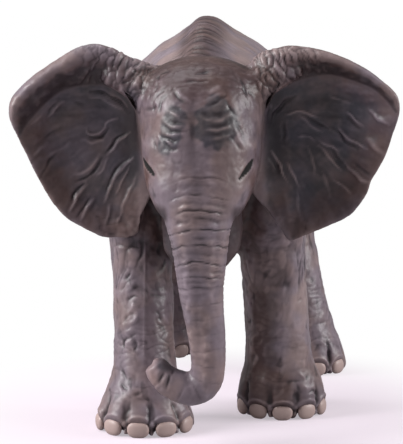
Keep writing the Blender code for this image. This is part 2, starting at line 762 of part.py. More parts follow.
def build_tail(material, parts, cutters):
    """Tail with a tuft, trimmed to the rump and plugged in by a peg."""
    rump = TORSO_FRONT_Y + TORSO_LENGTH
    rings = []
    step = 1 / (4 * TAIL_RINGS)
    for place in even(TAIL_RINGS):
        offset, radius = smooth_row(TAIL_SHARES, place)
        ahead = smooth_row(TAIL_SHARES, min(place + step, 1.0))[0]
        behind = smooth_row(TAIL_SHARES, max(place - step, 0.0))[0]
        run = min(place + step, 1.0) - max(place - step, 0.0)
        along = Vector((0.0, (ahead - behind) * TAIL_OFFSET, -run * TAIL_DROP)).normalized()
        back = Vector((0.0, -along.z, along.y))
        centre = Vector((TORSO_X, rump + offset * TAIL_OFFSET, TAIL_ROOT_Z - place * TAIL_DROP))
        rings.append([centre + Vector((radius * TAIL_RADIUS * math.cos(math.tau * i / TAIL_SIDES),
                                       0.0, 0.0))
                      + back * radius * TAIL_RADIUS * math.sin(math.tau * i / TAIL_SIDES)
                      for i in range(TAIL_SIDES)])
    tail = loft("tail", rings, material, parts)
    room = loft("rump_room", torso_rings(FIT_GAP, TORSO_SIDES, eased(TORSO_RINGS)), material, cutters)
    combine(tail, [room], "DIFFERENCE")
    combine(tail, [cylinder("tail_peg", TAIL_PEG_RADIUS, *tail_peg_ends(0.0), material, cutters)],
            "UNION")
    return tail


def finish(pieces, colours, parts):
    """Give each piece its own paint and hang it on the figure's root empty."""
    root = bpy.data.objects.new("figure_root", None)
    parts.objects.link(root)
    for obj, colour in zip(pieces, colours):
        obj.data.materials.clear()
        obj.data.materials.append(plastic(f"{obj.name}_paint", colour))
        obj.parent = root


def main():
    """Build the figure and print the size of each piece."""
    clear_scene()
    parts = new_collection("elephant_calf_figure")
    cutters = new_collection("construction_shapes")
    base = plastic("unpainted_pvc", SKIN_GREY)
    built = build_torso(base, parts, cutters)
    built.append(build_head(base, parts, cutters))
    built.append(build_trunk(base, parts, cutters))
    built.append(build_ear("ear_right", -1.0, EAR_RIGHT_SHARES, base, parts, cutters))
    built.append(build_ear("ear_left", 1.0, EAR_LEFT_SHARES, base, parts, cutters))
    built += [build_leg(leg, base, parts, cutters) for leg in LEGS]
    built.append(build_tail(base, parts, cutters))
    finish(built, [SKIN_GREY] * 3 + [TRUNK_GREY] + [EAR_GREY] * 2
           + [FOOT_GREY] * len(LEGS) + [SKIN_GREY], parts)
    for obj in built:
        corners = [vertex.co for vertex in obj.data.vertices]
        low = [min(corner[axis] for corner in corners) / MM for axis in range(3)]
        high = [max(corner[axis] for corner in corners) / MM for axis in range(3)]
        print(f"{obj.name:20s} faces {len(obj.data.polygons):5d}",
              *(f"{a:7.2f} to {b:6.2f}" for a, b in zip(low, high)))


if __name__ == "__main__":
    main()
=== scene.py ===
"""Painted elephant calf figure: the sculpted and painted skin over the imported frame, with floor, lamps and camera.

The sculpting classes work in millimetres in the figure's own frame: X to its left, -Y the way it faces, Z up.
Strokes are measured wrinkles, given as (x, z) points on the face that they are cut into.
"""

import json
import logging
import math
from dataclasses import dataclass, field
from enum import Enum
from typing import Callable, Sequence

import bmesh
import bpy
import numpy as np
from mathutils import Matrix, Vector
from mathutils.bvhtree import BVHTree

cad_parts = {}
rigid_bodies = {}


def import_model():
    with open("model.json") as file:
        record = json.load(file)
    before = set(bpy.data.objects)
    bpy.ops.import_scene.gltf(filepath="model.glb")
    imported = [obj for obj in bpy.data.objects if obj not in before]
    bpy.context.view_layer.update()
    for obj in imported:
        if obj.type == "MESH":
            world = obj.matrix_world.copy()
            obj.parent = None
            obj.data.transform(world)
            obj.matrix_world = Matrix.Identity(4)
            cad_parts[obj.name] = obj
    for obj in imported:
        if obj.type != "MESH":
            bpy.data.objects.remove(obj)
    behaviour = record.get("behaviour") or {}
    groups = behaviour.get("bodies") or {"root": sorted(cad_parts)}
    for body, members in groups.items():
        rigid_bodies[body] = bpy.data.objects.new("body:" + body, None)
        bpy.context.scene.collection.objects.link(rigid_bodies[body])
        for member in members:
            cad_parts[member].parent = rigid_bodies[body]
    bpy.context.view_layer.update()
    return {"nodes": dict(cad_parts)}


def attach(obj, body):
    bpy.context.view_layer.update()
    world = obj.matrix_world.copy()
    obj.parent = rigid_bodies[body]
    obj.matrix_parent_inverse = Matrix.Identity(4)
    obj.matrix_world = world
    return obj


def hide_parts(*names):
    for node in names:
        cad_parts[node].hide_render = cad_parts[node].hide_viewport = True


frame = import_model()
LOG = logging.getLogger("elephant_calf")

MM = 0.001
Array = np.ndarray
Points2 = Sequence[tuple[float, float]]
Colour = tuple[float, float, float]


class Piece(Enum):
    """Pieces of the skin, each named for the solid that it stands for."""

    TORSO_LEFT = "torso_left_shell"
    TORSO_RIGHT = "torso_right_shell"
    HEAD = "head"
    TRUNK = "trunk"
    EAR_LEFT = "ear_left"
    EAR_RIGHT = "ear_right"
    FORELEG_LEFT = "foreleg_left"
    FORELEG_RIGHT = "foreleg_right"
    HINDLEG_LEFT = "hindleg_left"
    HINDLEG_RIGHT = "hindleg_right"
    TAIL = "tail"


class Paint(Enum):
    """Paint masks that the sculptor leaves on the skin, as point attributes; besides the figure's real paint, the dark
    masks also carry painted shade and the crest mask painted highlights.
    """

    CREST = "crest"
    HOLLOW = "hollow"
    CHARCOAL = "charcoal"
    UMBER = "umber"
    BLUSH = "blush"
    INK = "ink"


# Fields of random and smooth values


def hashed(cells: Array, seed: int) -> Array:
    """Give each whole-numbered cell a repeatable value from 0 to 1.

    Args:
        cells: Whole numbers, three to a row.
        seed: Changes the pattern.

    Returns:
        One value a row.
    """
    mask = 0xFFFFFFFF
    mixed = (cells[:, 0] * 374761393 + cells[:, 1] * 668265263 + cells[:, 2] * 1440662683 + seed * 974634777) & mask
    mixed = ((mixed ^ (mixed >> 13)) * 1274126177) & mask
    mixed = ((mixed ^ (mixed >> 16)) * 805459861) & mask
    return ((mixed ^ (mixed >> 15)) & 0xFFFFFF) / 0xFFFFFF


def noise(points: Array, scale: float, seed: int, octaves: int = 1) -> Array:
    """Smooth gradient noise of about -1 to 1.

    Args:
        points: Places in millimetres, three to a row.
        scale: Size of one swell, in millimetres.
        seed: Changes the pattern.
        octaves: Layers, each half as large and half as strong as the one before.

    Returns:
        One value a row.
    """
    total = np.zeros(len(points))
    strength = 1.0
    for octave in range(octaves):
        place = points * (2.0**octave / scale) + 17.3 * octave
        cell = np.floor(place).astype(np.int64)
        part = place - cell
        ease = part**3 * (part * (part * 6.0 - 15.0) + 10.0)
        layer = np.zeros(len(points))
        for corner in range(8):
            shift = np.array([corner & 1, corner >> 1 & 1, corner >> 2 & 1])
            share = np.prod(np.where(shift, ease, 1.0 - ease), axis=1)
            slope = np.stack([hashed(cell + shift, seed + 31 * axis + 7 * octave) for axis in range(3)], axis=1)
            layer += share * ((part - shift) * (slope * 2.0 - 1.0)).sum(axis=1)
        total += layer * strength * 1.6
        strength *= 0.5
    return total


def crackle(points: Array, scale: Sequence[float], seed: int) -> Array:
    """Distance to the nearest border between random cells, near 0 in the cracks and up to about 1 in a cell.

    Args:
        points: Places in millimetres, three to a row.
        scale: Size of one cell along X, Y and Z, in millimetres.
        seed: Changes the pattern.

    Returns:
        One value a row.
    """
    place = points / np.asarray(scale)
    cell = np.floor(place).astype(np.int64)
    nearest = np.full(len(points), 9.0)
    second = np.full(len(points), 9.0)
    for number in range(27):
        other = cell + np.array([number % 3 - 1, number // 3 % 3 - 1, number // 9 - 1])
        middle = other + np.stack([hashed(other, seed + 13 * axis) for axis in range(3)], axis=1)
        reach = np.linalg.norm(place - middle, axis=1)
        second = np.minimum(second, np.maximum(reach, nearest))
        nearest = np.minimum(nearest, reach)
    return np.clip(second - nearest, 0.0, 1.0)


def step(values: Array, low: float, high: float) -> Array:
    """Smooth step from 0 at low to 1 at high, which may run either way."""
    share = np.clip((values - low) / (high - low), 0.0, 1.0)
    return share * share * (3.0 - 2.0 * share)


def band(values: Array, low: float, high: float, soft: float) -> Array:
    """1 between low and high, easing to 0 over the soft width outside them."""
    return step(values, low - soft, low) * step(values, high + soft, high)


def bell(values: Array, width: float) -> Array:
    """Bell curve round 0, 1 high."""
    return np.exp(-((values / width) ** 2))


def spline(points: Points2, count: int) -> Array:
    """Smooth curve through points.

    Args:
        points: Points that the curve passes.
        count: Points to give back.

    Returns:
        The curve's points, evenly spread over the given ones.
    """
    ctrl = np.asarray(points, float)
    padded = np.vstack([2 * ctrl[0] - ctrl[1], ctrl, 2 * ctrl[-1] - ctrl[-2]])
    at = np.linspace(0.0, len(ctrl) - 1.0, count)
    low = np.minimum(at.astype(int), len(ctrl) - 2)
    t = (at - low)[:, None]
    a, b, c, d = (padded[low + offset] for offset in range(4))
    return 0.5 * (2 * b + (c - a) * t + (2 * a - 5 * b + 4 * c - d) * t**2 + (3 * b - a - 3 * c + d) * t**3)


def line_distance(places: Array, line: Array) -> tuple[Array, Array]:
    """Distance from places to a line of points, and how far along it the nearest point lies.

    Args:
        places: Points, two numbers a row.
        line: The line's points, two numbers a row.

    Returns:
        The distances, and the run along the line in its own units.
    """
    best = np.full(len(places), 1e9)
    along = np.zeros(len(places))
    run = 0.0
    for start, end in zip(line, line[1:]):
        span = end - start
        length = float(np.hypot(*span)) + 1e-9
        share = np.clip((places - start) @ span / length**2, 0.0, 1.0)
        gap = np.linalg.norm(places - start - share[:, None] * span, axis=1)
        closer = gap < best
        best = np.where(closer, gap, best)
        along = np.where(closer, run + share * length, along)
        run += length
    return best, along


@dataclass(frozen=True)
class Stroke:
    """A measured wrinkle: a fold that stands out where its height is above 0, and a groove where it is below."""

    points: Points2
    height: float
    width: float = 0.45

    def field(self, places: Array, slim: float = 1.0) -> Array:
        """Height that the stroke gives each place.

        Args:
            places: (x, z) in millimetres, two numbers a row.
            slim: Factor for the stroke's width.

        Returns:
            Height in millimetres, fading towards both ends.
        """
        line = spline(self.points, 4 * len(self.points))
        gap, along = line_distance(places, line)
        length = float(np.linalg.norm(np.diff(line, axis=0), axis=1).sum())
        ends = np.sin(np.pi * np.clip(along / length, 0.04, 0.96)) ** 0.6
        return self.height * bell(gap, self.width * slim) * ends


def strokes_field(strokes: Sequence[Stroke], places: Array, slim: float = 1.0) -> Array:
    """Sum of many strokes at each place.

    Args:
        strokes: The strokes.
        places: (x, z) in millimetres, two numbers a row.
        slim: Factor for the strokes' width.

    Returns:
        Height in millimetres.
    """
    total = np.zeros(len(places))
    for stroke in strokes:
        total += stroke.field(places, slim)
    return total


# The skin's mesh


@dataclass
class Skin:
    """Fine closed mesh of the whole figure, in millimetres, with the paint masks of its points."""

    points: Array
    faces: Array
    edges: Array
    masks: dict[Paint, Array] = field(default_factory=dict)

    def normals(self) -> Array:
        """Outward direction at each point."""
        corner = self.points[self.faces]
        flat = np.cross(corner[:, 2] - corner[:, 0], corner[:, 3] - corner[:, 1])
        total = np.zeros_like(self.points)
        for axis in range(3):
            total[:, axis] = np.bincount(
                self.faces.ravel(), np.repeat(flat[:, axis], 4), minlength=len(self.points))
        return total / (np.linalg.norm(total, axis=1, keepdims=True) + 1e-12)

    def neighbour_mean(self, values: Array) -> Array:
        """Mean of each point's neighbours."""
        count = np.bincount(self.edges.ravel(), minlength=len(self.points)).astype(float)
        flat = values.reshape(len(values), -1)
        total = np.empty_like(flat)
        for column in range(flat.shape[1]):
            data = flat[:, column]
            total[:, column] = np.bincount(self.edges[:, 0], data[self.edges[:, 1]], minlength=len(data))
            total[:, column] += np.bincount(self.edges[:, 1], data[self.edges[:, 0]], minlength=len(data))
        return (total / np.maximum(count, 1.0)[:, None]).reshape(values.shape)

    def smoothed(self, values: Array, rounds: int, weight: Array | float = 1.0) -> Array:
        """Values evened out over their neighbours.

        Args:
            values: One or three numbers a point.
            rounds: How often each point moves half way to its neighbours.
            weight: How much of each move is made, from 0 to 1.

        Returns:
            The evened values.
        """
        share = weight if isinstance(weight, float) else weight.reshape((-1,) + (1,) * (values.ndim - 1))
        for _ in range(rounds):
            values = values + 0.5 * share * (self.neighbour_mean(values) - values)
        return values


@dataclass(frozen=True)
class EarFields:
    """Distance of places from an ear's rim, and how far they lie inside its roll, below 0 outside it."""

    rim_gap: Array
    depth: Array

    def share(self) -> Array:
        """Share of the way from the rim to the roll's lower edge, 1 beyond it."""
        return np.where(self.depth > 0, self.rim_gap / (self.rim_gap + self.depth + 1e-6), 1.0)

    def roll(self, crest: float = 0.34) -> Array:
        """Height of the rolled top, 0 to 1, thinning out where the roll is narrow."""
        share = self.share()
        rise = np.sin(np.pi / 2 * np.clip(share / crest, 0.0, 1.0)) ** 0.8
        fall = 1.0 - np.clip((share - crest) / (1.0 - crest), 0.0, 1.0) ** 1.4
        return np.where(share < crest, rise, fall) * step(self.rim_gap + self.depth, 0.8, 5.0) * (self.depth > 0)


@dataclass(frozen=True)
class Ear:
    """One ear: its outline from root top to root bottom, the lower edge of its rolled top, and its folds."""

    piece: Piece
    side: float
    outline: Points2
    roll_edge: Points2
    strokes: tuple[Stroke, ...]
    root_top: tuple[float, float] = (8.4, 66.6)
    root_bottom: tuple[float, float] = (8.8, 44.4)
    root_y: float = -28.9
    thickness: float = 1.7
    roll_height: float = 2.3
    dish: float = 1.1
    # Painted light: how much lighter the middle of the dish is painted on this ear, which takes more light.
    dish_painted_light: float = 0.0

    def blade(self) -> tuple[Array, Array, Array]:
        """The ear before its folds.

        Returns:
            Front points, back points and the four-sided faces of either, in millimetres.
        """
        rim = spline(self.outline, 150)
        rows, columns = len(rim), 44
        t = np.linspace(0.0, 1.0, rows)
        top = np.array(self.root_top) * (self.side, 1.0)
        bottom = np.array(self.root_bottom) * (self.side, 1.0)
        root = top + t[:, None] * (bottom - top)
        out = np.linspace(0.0, 1.0, columns)[None, :, None]
        flat = root[:, None, :] + out * (rim - root)[:, None, :]
        spread = np.clip((np.abs(flat[..., 0]) - 8.2) / 27.0, 0.0, 1.1)
        y = self.root_y - 1.4 * spread + 1.6 * np.sin(np.pi * np.minimum(spread, 1.0))
        brim = (band(t, 0.14, 0.42, 0.14) * 0.8 + 0.15)[:, None] * np.linspace(0.0, 1.0, columns)[None, :] ** 3
        roll = self.roll_height * self.fields(flat.reshape(-1, 2)).roll()
        middle = np.stack([flat[..., 0], y - 2.4 * brim, flat[..., 1]], axis=-1).reshape(-1, 3)
        forward = np.array([0.0, -1.0, 0.0])
        front = middle + forward * (self.thickness / 2 + roll)[:, None]
        back = middle + forward * (0.45 * roll - self.thickness / 2)[:, None]
        index = np.arange(rows * columns).reshape(rows, columns)
        faces = np.stack([index[:-1, :-1], index[:-1, 1:], index[1:, 1:], index[1:, :-1]], axis=-1).reshape(-1, 4)
        return front, back, faces

    def fields(self, places: Array) -> "EarFields":
        """Where (x, z) places lie between the ear's rim and the lower edge of its roll."""
        rim_gap, _ = line_distance(places, spline(self.outline, 90))
        edge = spline(self.roll_edge, 50)
        roll_gap, _ = line_distance(places, edge)
        outline = np.asarray(self.outline)
        last = int(np.linalg.norm(outline - edge[0], axis=1).argmin())
        loop = np.vstack([outline[: last + 1], edge])
        inside = np.zeros(len(places), dtype=bool)
        for start, end in zip(loop, np.roll(loop, -1, axis=0)):
            crosses = (start[1] > places[:, 1]) != (end[1] > places[:, 1])
            with np.errstate(divide="ignore", invalid="ignore"):
                at = start[0] + (places[:, 1] - start[1]) / (end[1] - start[1]) * (end[0] - start[0])
            inside ^= crosses & (places[:, 0] < at)
        return EarFields(rim_gap, np.where(inside, roll_gap, -roll_gap))


RIGHT_EAR = Ear(
    Piece.EAR_RIGHT, -1.0, dish_painted_light=0.6,
    outline=((-9.2, 67.9), (-11.4, 68.5), (-13.6, 69.3), (-16.2, 70.4), (-19.0, 71.2), (-21.5, 70.8), (-23.8, 69.8),
             (-26.6, 68.0), (-30.2, 65.6), (-33.0, 63.0), (-34.3, 61.1), (-34.6, 59.3), (-34.3, 57.2), (-33.3, 54.4),
             (-31.9, 51.2), (-30.5, 48.0), (-29.1, 45.2), (-27.7, 42.7), (-26.2, 40.7), (-24.5, 38.9), (-22.1, 37.6),
             (-19.7, 36.3), (-17.8, 35.6), (-15.4, 35.7), (-13.4, 35.8), (-11.7, 36.8), (-11.3, 40.0)),
    roll_edge=((-32.8, 54.4), (-31.7, 56.4), (-30.4, 58.0), (-28.5, 60.1), (-25.8, 62.3), (-23.0, 63.3),
               (-19.6, 63.7), (-16.7, 63.3), (-14.2, 61.9), (-12.2, 59.4), (-11.2, 57.2)),
    strokes=(
        Stroke(((-31.7, 56.1), (-30.2, 57.3), (-28.8, 58.7)), 0.18, 0.5),
        Stroke(((-27.7, 58.0), (-26.7, 59.2), (-25.2, 60.6)), 0.3, 0.4),
        Stroke(((-28.2, 57.9), (-27.2, 59.4), (-25.6, 60.9)), -0.22, 0.35),
        Stroke(((-27.1, 61.1), (-25.4, 62.3), (-24.0, 62.7)), 0.22, 0.45),
        Stroke(((-21.2, 55.7), (-20.8, 54.6), (-19.8, 54.4), (-18.8, 54.8), (-17.8, 55.9), (-17.3, 56.9),
                (-15.6, 57.4)), 0.5, 0.36),
        Stroke(((-20.9, 54.1), (-19.3, 53.7), (-18.0, 54.4), (-17.1, 55.8)), -0.5, 0.34),
        Stroke(((-21.6, 53.4), (-19.8, 53.0), (-18.1, 53.7)), 0.35, 0.36),
        Stroke(((-23.6, 60.8), (-22.2, 60.2), (-21.2, 60.0)), -0.2, 0.4),
        Stroke(((-13.2, 55.0), (-14.2, 54.2), (-15.4, 53.3), (-16.4, 52.0), (-17.4, 50.8)), 0.5, 0.38),
        Stroke(((-13.8, 55.2), (-15.6, 54.0), (-16.8, 52.6), (-17.8, 51.2)), -0.5, 0.36),
        Stroke(((-12.6, 50.5), (-14.4, 48.6), (-15.9, 46.9), (-16.9, 44.6), (-17.9, 42.2)), 0.55, 0.42),
        Stroke(((-13.4, 50.6), (-15.2, 48.9), (-16.7, 46.8), (-17.7, 44.5)), -0.4, 0.36),
        Stroke(((-17.4, 50.0), (-18.4, 48.1), (-19.3, 47.2)), 0.4, 0.36),
        Stroke(((-18.4, 50.2), (-19.9, 47.9), (-21.3, 46.8), (-23.2, 46.0)), -0.5, 0.4),
        Stroke(((-18.9, 50.8), (-20.4, 48.6), (-22.0, 47.6), (-24.0, 46.9)), 0.28, 0.5),
        Stroke(((-21.2, 45.2), (-22.6, 43.6), (-23.3, 42.4), (-24.1, 40.4)), 0.5, 0.4),
        Stroke(((-21.7, 45.6), (-23.2, 44.0), (-24.0, 42.6)), -0.5, 0.36),
        Stroke(((-19.8, 42.8), (-21.1, 40.9), (-22.2, 39.0)), 0.42, 0.36),
        Stroke(((-20.4, 43.2), (-21.7, 41.2), (-22.8, 39.4)), -0.3, 0.32),
        Stroke(((-13.3, 48.8), (-14.0, 47.2), (-15.0, 45.4), (-15.9, 43.4)), 0.4, 0.34),
        Stroke(((-12.2, 47.2), (-12.8, 45.2), (-13.9, 43.0), (-14.8, 40.8)), 0.35, 0.36),
        Stroke(((-16.9, 41.9), (-17.2, 40.0), (-17.8, 38.4)), 0.3, 0.4),
        Stroke(((-14.7, 41.6), (-15.0, 39.8), (-15.6, 38.2)), 0.28, 0.4),
        Stroke(((-26.4, 51.4), (-27.8, 49.9), (-28.7, 48.2), (-29.3, 47.0)), -0.3, 0.4),
        Stroke(((-23.8, 53.4), (-25.8, 51.9), (-27.6, 51.2)), 0.2, 0.5),
        Stroke(((-30.8, 50.5), (-29.5, 52.0), (-28.2, 53.2)), 0.2, 0.45),
        Stroke(((-29.9, 52.6), (-27.6, 54.6), (-25.4, 56.2)), -0.16, 0.45),
        Stroke(((-24.6, 49.6), (-22.9, 51.0), (-21.6, 52.0)), 0.16, 0.6),
        Stroke(((-20.4, 62.4), (-18.0, 62.1), (-16.3, 61.4), (-14.9, 60.3), (-13.4, 58.4)), -0.9, 0.42),
        Stroke(((-20.4, 61.3), (-18.2, 61.0), (-16.4, 60.2), (-15.2, 59.2)), 0.3, 0.4),
    ))

LEFT_EAR = Ear(
    Piece.EAR_LEFT, 1.0,
    outline=((9.0, 69.0), (10.3, 69.9), (11.8, 70.5), (13.6, 70.8), (15.9, 71.0), (19.3, 70.7), (22.9, 69.8),
             (26.8, 68.3), (30.0, 66.5), (33.2, 64.1), (34.8, 62.4), (35.3, 60.1), (35.0, 58.1), (34.3, 55.6),
             (33.5, 52.8), (32.7, 50.6), (31.6, 48.5), (30.5, 46.6), (30.0, 44.8), (28.9, 42.8), (27.5, 40.9),
             (25.9, 39.6), (23.4, 38.4), (21.0, 37.3), (18.6, 36.2), (16.2, 35.3), (14.9, 36.4), (13.4, 39.0)),
    roll_edge=((34.6, 59.2), (33.3, 60.9), (31.6, 62.6), (29.6, 63.9), (26.2, 65.0), (22.7, 65.7), (18.6, 65.0),
               (15.4, 63.7), (12.9, 62.2), (11.4, 60.2)),
    strokes=(
        Stroke(((29.8, 59.9), (31.4, 58.4), (33.4, 57.0)), 0.4, 0.5),
        Stroke(((29.7, 54.4), (31.2, 53.0), (32.6, 51.6)), 0.5, 0.8),
        Stroke(((26.0, 59.0), (27.6, 57.6), (29.2, 56.5)), 0.4, 0.36),
        Stroke(((25.6, 58.4), (27.2, 57.0), (28.8, 55.9)), -0.35, 0.36),
        Stroke(((24.6, 56.6), (25.6, 55.0), (27.0, 53.6), (28.6, 53.0), (29.8, 52.5)), 0.5, 0.38),
        Stroke(((23.7, 56.3), (25.2, 54.6), (26.5, 53.1), (28.2, 52.3)), -0.45, 0.36),
        Stroke(((21.4, 53.6), (22.6, 52.8), (24.4, 51.9)), 0.36, 0.4),
        Stroke(((21.3, 52.9), (23.4, 50.3), (25.0, 48.4)), 0.42, 0.4),
        Stroke(((22.4, 52.9), (24.3, 50.8), (25.9, 49.2)), -0.35, 0.36),
        Stroke(((25.8, 49.5), (27.7, 47.9), (29.0, 46.7), (30.0, 46.4)), 0.55, 0.6),
        Stroke(((27.2, 50.0), (28.8, 48.8), (30.6, 47.8)), -0.3, 0.5),
        Stroke(((24.0, 46.5), (25.5, 45.7), (26.8, 44.3)), 0.4, 0.4),
        Stroke(((12.3, 51.9), (13.7, 49.8), (14.6, 47.7), (15.5, 46.1)), 0.4, 0.36),
        Stroke(((11.9, 51.4), (13.2, 49.2), (14.1, 47.2)), -0.4, 0.36),
        Stroke(((15.2, 49.6), (16.7, 47.2), (17.6, 45.2)), 0.34, 0.36),
        Stroke(((15.0, 58.4), (16.6, 58.9), (18.6, 58.7), (21.2, 57.7)), 0.34, 0.38),
        Stroke(((17.4, 58.0), (18.8, 57.0), (19.9, 56.1), (21.7, 55.3)), 0.4, 0.38),
        Stroke(((18.6, 58.1), (20.6, 56.9), (22.6, 55.9)), -0.36, 0.36),
        Stroke(((12.7, 56.6), (13.4, 58.8), (14.9, 60.5), (16.6, 61.6)), -0.6, 0.5),
        Stroke(((14.9, 57.4), (14.7, 55.4), (14.9, 53.1)), -0.4, 0.42),
        Stroke(((17.2, 54.2), (18.6, 54.4), (20.2, 53.6)), 0.24, 0.4),
        Stroke(((18.9, 52.6), (19.9, 50.2), (20.4, 47.6)), 0.24, 0.45),
        Stroke(((21.8, 48.0), (22.6, 45.6), (23.0, 43.4)), 0.2, 0.5),
        Stroke(((17.0, 44.4), (17.4, 42.2), (17.6, 40.0)), 0.2, 0.5),
        Stroke(((22.4, 62.2), (24.6, 61.2), (27.0, 60.6)), 0.2, 0.5),
    ))

FACE_STROKES: tuple[Stroke, ...] = (
    Stroke(((0.2, 60.1), (2.2, 59.8), (4.0, 59.9), (5.4, 60.8)), -0.42, 0.5),
    Stroke(((0.9, 58.2), (3.3, 58.0), (5.0, 58.4), (6.3, 59.4)), -0.42, 0.5),
    Stroke(((1.4, 56.6), (3.7, 56.4), (5.6, 56.8)), -0.38, 0.45),
    Stroke(((2.9, 55.0), (4.6, 55.3), (6.1, 55.9)), -0.38, 0.42),
    Stroke(((1.2, 61.2), (2.9, 61.8), (4.0, 62.6), (5.0, 63.1)), -0.42, 0.45),
    Stroke(((1.3, 63.2), (2.8, 63.9), (4.0, 64.5)), 0.35, 0.4),
    Stroke(((1.0, 62.2), (2.6, 62.7), (3.8, 63.5)), 0.22, 0.4),
    Stroke(((-4.7, 63.7), (-3.6, 62.6), (-2.0, 61.5)), -0.42, 0.42),
    Stroke(((-4.2, 63.9), (-3.1, 63.1), (-1.7, 61.8)), 0.38, 0.36),
    Stroke(((-4.3, 61.3), (-2.6, 60.4)), -0.35, 0.4),
    Stroke(((-5.8, 59.3), (-4.5, 58.6), (-2.7, 58.4)), -0.42, 0.42),
    Stroke(((-6.4, 57.9), (-5.0, 57.0), (-3.5, 56.7), (-2.4, 57.0)), -0.42, 0.42),
    Stroke(((-6.7, 56.2), (-5.4, 55.7), (-4.2, 55.3), (-2.7, 55.7)), -0.42, 0.42),
    Stroke(((-6.1, 54.8), (-4.8, 54.0), (-3.2, 54.2)), -0.36, 0.4),
    Stroke(((-5.0, 53.8), (-4.5, 52.3), (-4.0, 51.6), (-3.0, 51.7), (-2.8, 53.1), (-3.3, 54.0)), -0.16, 0.34),
    Stroke(((-1.4, 61.6), (-1.4, 59.4), (-1.2, 57.6), (-0.7, 54.0)), -0.22, 0.8),
    Stroke(((1.0, 59.2), (3.4, 58.9), (5.5, 59.7)), 0.24, 0.34),
    Stroke(((1.5, 57.4), (3.9, 57.2), (5.8, 57.9)), 0.24, 0.34),
    Stroke(((2.2, 55.7), (4.2, 55.9), (5.7, 56.4)), 0.2, 0.34),
    Stroke(((-5.6, 60.3), (-3.4, 59.5)), 0.34, 0.34),
    Stroke(((-6.1, 58.4), (-4.3, 57.7), (-2.7, 57.7)), 0.34, 0.34),
    Stroke(((-6.5, 57.0), (-5.0, 56.3), (-3.0, 56.4)), 0.34, 0.34),
    Stroke(((-5.9, 55.3), (-4.3, 54.7)), 0.3, 0.34),
    Stroke(((-5.6, 63.6), (-6.7, 61.4), (-7.8, 59.4)), -0.4, 0.45),
    Stroke(((-7.1, 62.0), (-8.5, 60.4), (-9.7, 60.0)), -0.36, 0.4),
    Stroke(((-5.5, 64.6), (-7.0, 63.3), (-7.8, 62.2)), -0.36, 0.4),
    Stroke(((-8.3, 55.4), (-7.4, 53.9), (-7.7, 52.9)), -0.28, 0.34),
    Stroke(((-7.3, 56.4), (-6.6, 54.6), (-6.9, 53.0)), 0.2, 0.4),
    Stroke(((-1.8, 66.4), (0.4, 66.7), (3.0, 67.1)), -0.4, 0.42),
    Stroke(((-3.4, 65.2), (-0.8, 65.4), (1.8, 65.2)), -0.22, 0.4),
    Stroke(((-8.2, 64.8), (-6.6, 66.1), (-5.1, 67.3)), -0.42, 0.42),
    Stroke(((7.2, 65.7), (7.6, 64.0), (8.2, 62.3)), -0.42, 0.42),
    Stroke(((8.2, 64.2), (9.0, 63.0), (9.5, 61.8)), -0.36, 0.4),
    Stroke(((6.5, 58.3), (7.4, 56.6), (8.0, 54.8)), -0.34, 0.36),
    Stroke(((5.7, 56.1), (6.5, 54.8), (7.3, 53.7)), -0.34, 0.36),
    Stroke(((6.2, 57.4), (7.0, 55.8), (7.7, 54.2)), 0.2, 0.34),
    Stroke(((4.8, 62.2), (5.5, 60.6), (6.4, 59.6)), -0.3, 0.4),
    Stroke(((9.6, 58.6), (9.9, 56.4), (9.6, 54.2)), -0.2, 0.5),
    Stroke(((-9.8, 57.6), (-10.1, 55.6), (-9.7, 53.8)), -0.2, 0.5),
    Stroke(((-9.4, 47.6), (-8.2, 46.4), (-7.6, 44.6)), -0.2, 0.5),
    Stroke(((8.6, 46.8), (7.7, 45.2), (7.3, 43.6)), -0.2, 0.5),
)

RIGHT_EYE = Stroke(((-10.0, 51.2), (-9.2, 50.3), (-8.0, 49.2)), -0.3, 0.3)
LEFT_EYE = Stroke(((9.3, 51.5), (8.4, 50.0), (7.2, 48.7)), -0.3, 0.3)


TIP_STROKES: tuple[Stroke, ...] = (
    Stroke(((-6.0, 14.2), (-6.6, 13.2), (-7.1, 12.3)), -0.45, 0.28),
    Stroke(((-5.0, 14.0), (-5.3, 12.6), (-5.7, 11.2)), -0.55, 0.28),
    Stroke(((-4.4, 14.5), (-4.6, 13.6)), -0.4, 0.28),
    Stroke(((-5.5, 14.2), (-5.9, 13.0), (-6.3, 11.9)), 0.3, 0.26),
    Stroke(((-6.6, 14.8), (-7.5, 13.5)), 0.3, 0.3),
    Stroke(((-6.9, 17.0), (-8.2, 15.2), (-8.5, 14.0), (-7.7, 12.5), (-6.4, 11.0)), 0.32, 0.34),
)


# Sculpting


@dataclass(frozen=True)
class Swell:
    """Soft bar of flesh between two points, thicker at one end."""

    start: tuple[float, float, float]
    end: tuple[float, float, float]
    radii: tuple[float, float]
    deeper: float = 1.0

    def add_to(self, shape: bmesh.types.BMesh, ball: bpy.types.Mesh) -> None:
        """Add the bar as a row of balls.

        Args:
            shape: Where the balls go.
            ball: Ball of radius 1, which each of them is a stretched copy of.
        """
        for share in np.linspace(0.0, 1.0, 14).tolist():
            centre = Vector(self.start).lerp(Vector(self.end), share)
            radius = self.radii[0] + share * (self.radii[1] - self.radii[0])
            copy = ball.copy()
            copy.transform(Matrix.Translation(centre) @ Matrix.Diagonal((radius, radius * self.deeper, radius, 1.0)))
            shape.from_mesh(copy)
            bpy.data.meshes.remove(copy)


